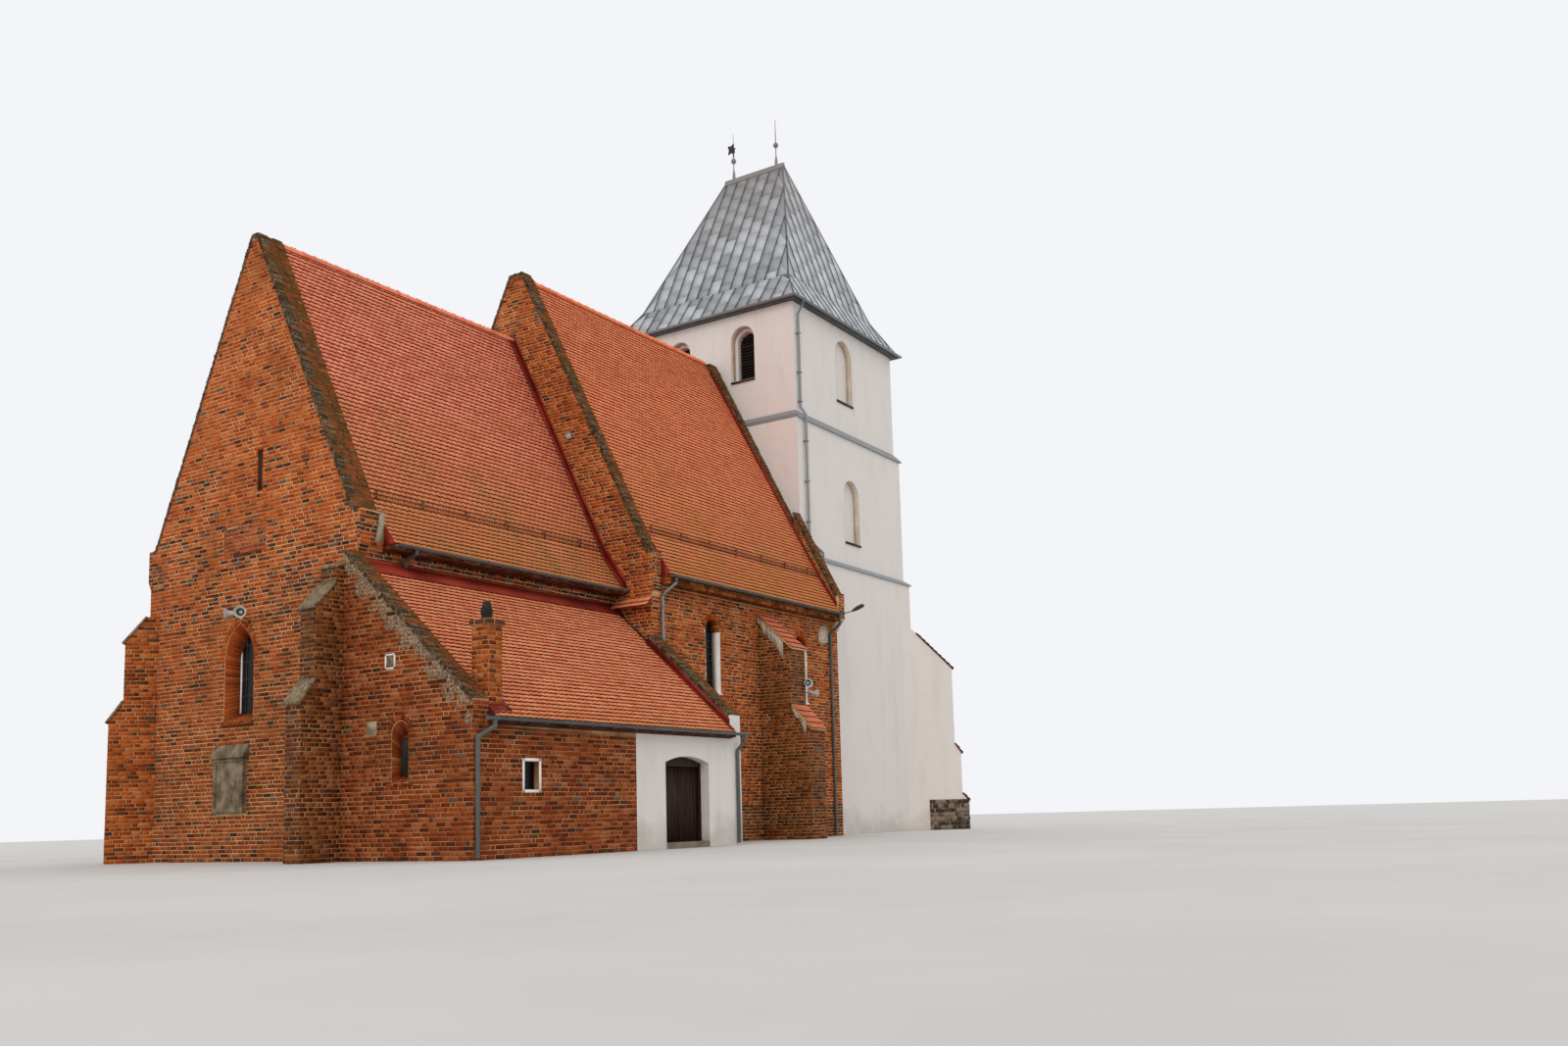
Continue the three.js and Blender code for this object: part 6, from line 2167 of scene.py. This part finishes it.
@dataclass
class Tower:
    """The plastered tower with its metal roof, louvres and buttresses.

    Attributes:
        x: Its middle along the church.
        y: Its middle across the church.
        upper: Half its upper stage's sizes along x and y.
        middle: Half the middle stage's size along y.
        eave: Half the eaves' sizes along x and y, and their level.
        knee: The same where the roof gets steeper.
        ridge: Half the ridge's length and its level.
        belfry: The belfry openings' middles.
        sheet: Width and length of a roof sheet.
        pier: Half the buttresses' width.
    """

    x: float = 23.69
    y: float = 0.20
    upper: Point2 = (3.87, 3.97)
    middle: float = 4.13
    eave: Point3 = (4.12, 4.22, 19.61)
    knee: Point3 = (3.19, 3.44, 20.90)
    ridge: Point2 = (1.40, 27.19)
    belfry: Point2 = (-1.55, 1.39)
    sheet: Point2 = (0.52, 0.76)
    pier: float = 0.60

    def build(self) -> None:
        """Builds and dresses the tower's pieces."""
        dress_nodes(Surface.RENDER, "tower_lower_stage", "tower_middle_stage", "tower_upper_stage")
        dress_nodes(Surface.OFFSET_ZINC, "tower_lower_offset", "tower_upper_offset")
        dress_nodes(Surface.SEAM_ZINC, "tower_roof")
        dress_nodes(Surface.GUTTER_ZINC, "tower_ridge_and_finials")
        dress_nodes(Surface.IRON, "weather_vane")
        self.roof()
        self.louvres()
        self.ledges()
        self.rainwater()
        self.piers()

    def slope(self, sheets: Heap, ribs: Heap, foot: Sequence[float], head: Sequence[float],
              along: Point3, low: float, high: float, seed: int, lit_share: float = 0.0) -> None:
        """Covers one roof slope with sheets and standing seams.

        Args:
            sheets: Where the sheets go.
            ribs: Where the seams go.
            foot: Middle of its lower edge.
            head: Middle of its upper edge.
            along: Direction of its lower edge.
            low: Half its lower edge.
            high: Half its upper edge.
            seed: Start of the chance values.
            lit_share: Share of sheets that take the second, brighter finish, which paints light on the slope.
        """
        face = Face.sloped(foot, head, along)
        rise = math.dist(foot, head)
        columns = max(2, round(2 * low / self.sheet[0]))
        pitch = 2 * low / columns
        outline = [(0.0, -low), (0.0, low), (rise, high), (rise, -high)]
        bond = Bond(course=pitch, joint=0.014, lengths=(self.sheet[1],), shift=self.sheet[1] / 2, proud=0.008,
                    rough=0.005, wander=0.0, odd=lit_share)
        lay(sheets, face.turned(), [outline], bond, seed)
        for column in range(1, columns):
            s = -low + column * pitch
            for a, b in crossings([outline], s):
                face.plate(ribs, rect(s - 0.006, s + 0.006, a, b), 0.03, 0.03)

    def roof(self) -> None:
        """Covers the roof's eight slopes and caps its hips."""
        sheets, ribs = Heap(), Heap()
        ex, ey, ez = self.eave
        kx, ky, kz = self.knee
        half, top = self.ridge
        for i, sign in enumerate((-1, 1)):
            foot, knee = (self.x + sign * ex, self.y, ez), (self.x + sign * kx, self.y, kz)
            self.slope(sheets, ribs, knee, (self.x, self.y, top), ACROSS, ky, half, 401 + i)
            self.slope(sheets, ribs, foot, knee, ACROSS, ey, ky, 411 + i)
            # The north and south slopes take only the brighter sheets: painted light.
            foot, knee = (self.x, self.y + sign * ey, ez), (self.x, self.y + sign * ky, kz)
            self.slope(sheets, ribs, knee, (self.x, self.y + sign * half, top), ALONG, kx, 0.02, 421 + i, 1.0)
            self.slope(sheets, ribs, foot, knee, ALONG, ex, kx, 431 + i, 1.0)
            for other in (-1, 1):
                lower = (self.x + sign * ex, self.y + other * ey, ez)
                bend = (self.x + sign * kx, self.y + other * ky, kz)
                ribs.tube([lower, bend], [0.03, 0.03], 8)
                ribs.tube([bend, (self.x, self.y + other * half, top)], [0.03, 0.03], 8)
        sheets.piece("tower_roof_sheets", [Surface.ROOF_ZINC, Surface.LIT_ZINC], "zinc")
        ribs.piece("tower_roof_seams", [Surface.SEAM_ZINC], "zinc")

    def louvres(self) -> None:
        """Adds the sloping slats in the belfry openings, shorter towards their round heads."""
        slats = Heap()
        half = 0.385
        for sign, front in ((-1, 20.385), (1, 26.995)):
            for offset in self.belfry:
                for k in range(17):
                    z = 16.93 + k * 0.118
                    reach = half
                    if z > 18.45:
                        reach = math.sqrt(max(0.0, half ** 2 - (z + 0.06 - 18.5) ** 2))
                    if reach < 0.08:
                        continue
                    a, b = offset - reach, offset + reach
                    outer, inner = front + sign * 0.15, front + sign * 0.02
                    upper = [(outer, a, z), (outer, b, z), (inner, b, z + 0.11), (inner, a, z + 0.11)]
                    lower = [(x - sign * 0.02, y, level - 0.02) for x, y, level in upper]
                    slats.slab(np.array(upper)[::-sign], np.array(lower)[::-sign], closed=True)
        slats.piece("belfry_slats", [Surface.SLAT], "dark_wood")
        dress_nodes(Surface.SLAT, "tower_louvres_east", "tower_louvres_west")

    def ledges(self) -> None:
        """Adds the sheet-covered sills of the belfry openings and blind niches, and lines both."""
        heap = Heap()
        for sign in (-1, 1):
            for offset in self.belfry:
                a = self.x + sign * (self.upper[0] + 0.06)
                b = self.x + sign * (self.upper[0] - 0.29)
                heap.box(min(a, b), max(a, b), offset - 0.525, offset + 0.525, 16.842, 16.90)
            for mid, half, z, out in ((23.57, 0.625, 16.47, self.upper[1]),
                                      (23.545, 0.58, 10.89, self.middle)):
                a = self.y + sign * (out + 0.05)
                b = self.y + sign * (out - 0.245)
                heap.box(mid - half, mid + half, min(a, b), max(a, b), z + 0.002, z + 0.08)
        heap.piece("tower_sill_sheets", [Surface.SILL], "zinc")
        # The reveals of the niches and belfry openings take a darker render: painted shade in the recesses.
        reveals = Heap()
        for out, niche in ((self.middle, (23.545, 1.17, 10.97, 12.845)),
                           (self.upper[1], (23.57, 1.26, 16.55, 18.42))):
            for side in (-1, 1):
                lining(reveals, Face.side(self.y + side * out, side), round_head(*niche), 0.248)
        for face in (Face.east(self.x - self.upper[0]), Face.west(self.x + self.upper[0])):
            for offset in self.belfry:
                lining(reveals, face, round_head(offset, 1.06, 16.91, 18.5), 0.298)
        reveals.piece("tower_niche_reveals", [Surface.NICHE_SHADE], "plaster")

    def rainwater(self) -> None:
        """Adds the eaves gutter and the downpipe."""
        heap = Heap()
        ex, ey = self.eave[0] + 0.075, self.eave[1] + 0.075
        angles = np.linspace(math.pi, 2 * math.pi, 7)
        rims = [(0.07, a) for a in angles] + [(0.062, a) for a in angles[::-1]]
        rings = []
        for sx, sy in rect(-ex, ex, -ey, ey):
            away = np.array([math.copysign(1, sx), math.copysign(1, sy), 0.0])
            middle = np.array([self.x + sx, self.y + sy, 19.60])
            rings.append([middle + (0, 0, r * math.sin(a)) + away * r * math.cos(a) for r, a in rims])
        n = len(rims)
        faces = [[k * n + i, ((k + 1) % 4) * n + i, ((k + 1) % 4) * n + (i + 1) % n, k * n + (i + 1) % n]
                 for k in range(4) for i in range(n)]
        heap.add(np.concatenate([np.array(r) for r in rings]), faces)
        pipe = [(20.10, -4.10, 19.52), (20.10, -4.05, 19.36), (20.08, -3.86, 19.05), (20.08, -3.86, 15.50),
                (20.14, -4.03, 15.22), (20.14, -4.03, 10.55), (20.78, -4.21, 10.14), (20.80, -4.19, 9.8),
                (20.80, -4.19, 0.08)]
        heap.tube(pipe, [0.05] * len(pipe), 10)
        for sides, levels in (((20.01, 20.15, -3.93, -3.76), (18.3, 16.8, 15.7)),
                              ((20.07, 20.21, -4.10, -3.92), (14.2, 12.7, 11.2)),
                              ((20.73, 20.87, -4.26, -4.09), (8.6, 6.6, 4.6, 2.6))):
            for z in levels:
                heap.box(*sides, z, z + 0.035)
        heap.piece("tower_rainwater", [Surface.GUTTER_ZINC], "zinc", smooth=40)

    def piers(self) -> None:
        """Lays the fieldstone plinths and the tiled slopes of the tower's buttresses."""
        stones, tops, tiles = Heap(), Heap(), Heap()
        half = self.pier
        bond = Bond(course=0.17, joint=0.025, lengths=(0.27, 0.19), shift=0.11, proud=0.035, rough=0.03,
                    wander=0.05, odd=0.0)
        low = [(1.93, 0.0), (1.93, 1.18), (0.3, 1.18), (0.3, 0.0)]
        bed = [(1.93, 0.0), (1.93, 1.19), (0.3, 1.19), (0.3, 0.0)]
        slopes = [((1.95, 1.16), (1.70, 1.43)), ((1.73, 3.04), (1.46, 3.41)), ((1.49, 6.43), (0.0, 7.85))]
        for side in (-1.0, 1.0):
            way, across = np.array((1.0, side)) * math.sqrt(0.5), np.array((-side, 1.0)) * math.sqrt(0.5)
            corner = np.array((27.86, self.y + side * 4.30))
            for run, out, shift, outline in ((across, way, way * low[0][0], rect(-half, half, 0.0, 1.19)),
                                             (way, across, across * half, bed),
                                             (way, -across, -across * half, bed)):
                face = Face((*(corner + shift), 0.0), (*run, 0.0), (0, 0, 1), (*out, 0.0))
                face.plate(stones, outline, 0.012, 0.014, 1)
            stepped_pier(stones, tops, tuple(corner), tuple(way), half, low, slopes, 450, bond, bond)
            for (out0, z0), (out1, z1) in slopes:
                foot = (*(corner + way * out0 - across * half), z0)
                head = (*(corner + way * out1 - across * half), z1)
                length = math.dist(foot, head)
                rows = max(2, round(length / 0.24))
                tile_rows(tiles, Face.sloped(foot, head, (*across, 0.0)), 2 * half, length, rows, 455)
        stones.piece("tower_buttress_plinth_stones", [Surface.FIELDSTONE, Surface.WASH], "stone")
        tops.piece("tower_buttress_tile_beds", [Surface.TILE_BED_SHADE], "roof_tile")
        tiles.piece("tower_buttress_tiles", [Surface.PIER_TILE, Surface.TILE_SOOT_AND_SHADE], "roof_tile")
        dress_nodes(Surface.RENDER, "tower_nw_buttress", "tower_sw_buttress")


@dataclass
class Fittings:
    """Gutters, brackets and the small things fixed to the walls.

    Attributes:
        gutters: Names of the eaves gutters.
        horn: A horn's outside as distance behind its mouth and radius, from its back to its mouth.
        throat: Its inside from the mouth to the throat, and round the driver in it.
        throat_shade_slots: The finish of each stretch of its inside; the deeper stretches take slot 1,
            painted shade.
    """

    gutters: tuple[str, ...] = ("chancel_north", "chancel_south", "nave_north", "nave_south", "sacristy")
    horn: tuple[Point2, ...] = ((0.31, 0.03), (0.3099, 0.04), (0.30, 0.05), (0.20, 0.05), (0.14, 0.06),
                                (0.06, 0.10), (0.01, 0.145), (0.0, 0.15))
    throat: tuple[Point2, ...] = ((0.0, 0.15), (0.004, 0.135), (0.05, 0.095), (0.11, 0.05), (0.12, 0.045),
                                  (0.06, 0.04), (0.055, 0.01))
    throat_shade_slots: tuple[int, ...] = (0, 0, 1, 1, 0, 0)

    def build(self) -> None:
        """Builds and dresses the fittings."""
        dress_nodes(Surface.EAVES_ZINC, *[f"{name}_gutter" for name in self.gutters])
        self.brackets()
        self.downpipe()
        self.horns()
        self.lights()

    def brackets(self) -> None:
        """Adds the gutters' iron brackets."""
        heap, radius = Heap(), 0.082
        runs = ((0.75, 9.1, -4.495, 7.22, -1), (0.75, 9.1, 4.495, 7.22, 1),
                (9.65, 19.2, NAVE_AXIS - 5.585, 7.60, -1),
                (9.65, 19.2, NAVE_AXIS + 5.585, 7.60, 1), (-0.1, 9.4, -8.275, 2.944, -1))
        for x0, x1, y, top, side in runs:
            for x in np.linspace(x0 + 0.15, x1 - 0.15, round((x1 - x0) / 0.75)):
                ring = [(x, y + side * radius * math.cos(w), top - 0.004 + radius * math.sin(w))
                        for w in np.linspace(math.pi, 2 * math.pi, 7)]
                for a, b in zip(ring[:-1], ring[1:]):
                    heap.bar(a, b, 0.02, 0.005, up=(1, 0, 0.001))
        heap.piece("gutter_brackets", [Surface.GUTTER_ZINC], "zinc")

    def downpipe(self) -> None:
        """Adds the downpipe beside the nave's north-east corner."""
        heap = Heap()
        line = [(9.72, -5.79, 7.50), (9.74, -5.78, 7.38), (9.62, -5.44, 7.10), (9.60, -5.38, 6.98),
                (9.60, -5.38, 0.08)]
        heap.tube(line, [0.045] * 5, 10)
        for z in (6.7, 5.2, 3.7, 2.2, 0.7):
            heap.box(9.54, 9.66, -5.44, -5.30, z, z + 0.03)
        heap.piece("nave_north_east_downpipe", [Surface.GUTTER_ZINC], "zinc", smooth=40)

    def horns(self) -> None:
        """Adds the four horns on their brackets."""
        shell, iron = Heap(), Heap()
        for mouth, way, foot in (
            ((-0.46, 0.16, 5.92), (-0.62, 0.78, -0.1), (0.0, 0.02, 5.72)),
            ((-0.42, -0.34, 5.93), (-0.80, -0.6, -0.05), (0.0, -0.16, 5.74)),
            ((15.30, -6.72, 4.83), (-0.45, -0.88, -0.1), (15.42, -6.475, 4.70)),
            ((16.62, -6.22, 4.60), (0.80, -0.55, -0.2), (15.475, -6.30, 4.62)),
        ):
            way = np.array(way) / np.linalg.norm(way)
            end = np.array(mouth)
            shell.tube([end - way * back for back, _ in self.horn], [size for _, size in self.horn], 16,
                       closed=False)
            side = np.cross(way, (0, 0, 1.0))
            side /= np.linalg.norm(side)
            top = np.cross(side, way)
            angles = np.linspace(0, 2 * math.pi, 16, endpoint=False)
            rings = [end - way * (back - SUNK) + size * (math.cos(w) * side + math.sin(w) * top)
                     for back, size in self.throat for w in angles]
            # The deeper stretches of the throat take slot 1, a dark grey: painted shade.
            for r, slot in enumerate(self.throat_shade_slots):
                faces = [[r * 16 + 16 + k, r * 16 + 16 + (k + 1) % 16, r * 16 + (k + 1) % 16, r * 16 + k]
                         for k in range(16)]
                shell.add(np.array(rings), faces, slot)
            iron.bar(end - way * 0.2 - (0, 0, 0.05), foot, 0.03, 0.012)
        shell.piece("white_horns", [Surface.HORN, Surface.LEAD_AND_SHADE], "plaster", smooth=50)
        iron.piece("horn_brackets", [Surface.IRON], "iron")

    def lights(self) -> None:
        """Adds the small box on the nave gable and the floodlight at the nave's corner."""
        heap, iron = Heap(), Heap()
        heap.box(9.06, 9.17, -2.42, -2.26, 12.04, 12.20)
        heap.box(9.04, 9.12, -2.43, -2.25, 12.20, 12.215)
        heap.piece("gable_box", [Surface.HORN], "plaster")
        iron.tube([(19.72, -5.90, 7.70), (19.78, -5.93, 7.74), (19.95, -6.0, 7.83), (20.15, -6.08, 7.93),
                   (20.22, -6.11, 7.95)], [0.02, 0.05, 0.075, 0.07, 0.03], 12)
        iron.bar((19.74, -5.92, 7.71), (19.55, -5.64, 7.62), 0.03, 0.03)
        iron.bar((19.40, -5.64, 7.62), (19.62, -5.64, 7.62), 0.08, 0.02, up=(0, 1, 0))
        iron.piece("floodlight", [Surface.IRON], "iron")


@dataclass(frozen=True)
class Studio:
    """The plain studio: floor, light and camera.

    Attributes:
        eye: The camera's place in the building's own x, y and z.
        yaw: Its direction in radians, from west towards south.
        pitch: How far it looks up, in radians.
        roll: How far it is turned about its axis, in radians.
        focal: Its focal length in pixels of the photo.
        width: The photo's width in pixels.
        height: The photo's height in pixels.
        middle: Where the camera's axis meets the photo, in pixels.
        floor_half: Half the floor's size.
        sky: Strength of the sky's light.
        key: Strength of the key light.
        key_size: The key light's apparent size in degrees.
    """

    eye: Point3 = (-19.922, -27.819, 0.75)
    yaw: float = 0.558
    pitch: float = 0.125
    roll: float = -0.028
    focal: float = 1343.863
    width: float = 1600.0
    height: float = 1067.0
    middle: Point2 = (800.0, 662.426)
    floor_half: float = 160.0
    sky: float = 0.97
    key: float = 0.55
    key_size: float = 25.0

    def build(self) -> None:
        """Builds the studio."""
        self.floor()
        self.light()
        self.camera()

    def floor(self) -> None:
        """Lays the pale floor."""
        mesh = bpy.data.meshes.new("studio_floor")
        half = self.floor_half
        corners = [(x, y, -0.003) for x, y in rect(-half, half, -half, half)]
        mesh.from_pydata(corners, [], [(0, 1, 2, 3)])
        item = bpy.data.objects.new("studio_floor", mesh)
        bpy.context.scene.collection.objects.link(item)
        dress(item, Surface.FLOOR)

    def light(self) -> None:
        """Sets the sky's soft light and a large soft key light from the east."""
        world = bpy.data.worlds.new("studio_light")
        world.use_nodes = True
        back = world.node_tree.nodes["Background"]
        back.inputs["Color"].default_value = linear("#f7f8fb")
        back.inputs["Strength"].default_value = self.sky
        bpy.context.scene.world = world
        bpy.context.scene.view_settings.view_transform = "Standard"
        sun = bpy.data.lights.new("studio_key", "SUN")
        sun.energy = self.key
        sun.angle = math.radians(self.key_size)
        sun.color = linear("#fff3e2")[:3]
        item = bpy.data.objects.new("studio_key", sun)
        away = Vector((0.84, 0.34, -0.52))
        item.rotation_euler = away.to_track_quat("-Z", "Y").to_euler()
        bpy.context.scene.collection.objects.link(item)

    def camera(self) -> None:
        """Places the camera where the photographer stood."""
        cy, sy, cp, sp = math.cos(self.yaw), math.sin(self.yaw), math.cos(self.pitch), math.sin(self.pitch)
        way = Vector((cy * cp, sy * cp, sp))
        right = Vector((sy, -cy, 0.0))
        up = right.cross(way)
        c, s = math.cos(self.roll), math.sin(self.roll)
        right, up = c * right + s * up, -s * right + c * up
        data = bpy.data.cameras.new("studio_camera")
        data.sensor_width = 36.0
        data.lens = self.focal * 36.0 / self.width
        data.shift_x = (self.width / 2 - self.middle[0]) / self.width
        data.shift_y = (self.middle[1] - self.height / 2) / self.width
        data.clip_end = 500.0
        item = bpy.data.objects.new("studio_camera", data)
        place = Matrix((right, up, -way)).transposed().to_4x4()
        place.translation = Vector(self.eye) + Vector((EAST_FACE, CHURCH_AXIS, 0.0))
        item.matrix_world = place
        bpy.context.scene.collection.objects.link(item)
        bpy.context.scene.camera = item


def main() -> None:
    """Builds the church in order."""
    logging.basicConfig(level=logging.INFO, format="%(message)s")
    Studio().build()
    for assembly in (Chancel(), Sacristy(), Nave(), Tower(), Fittings()):
        assembly.build()


if __name__ == "__main__":
    main()
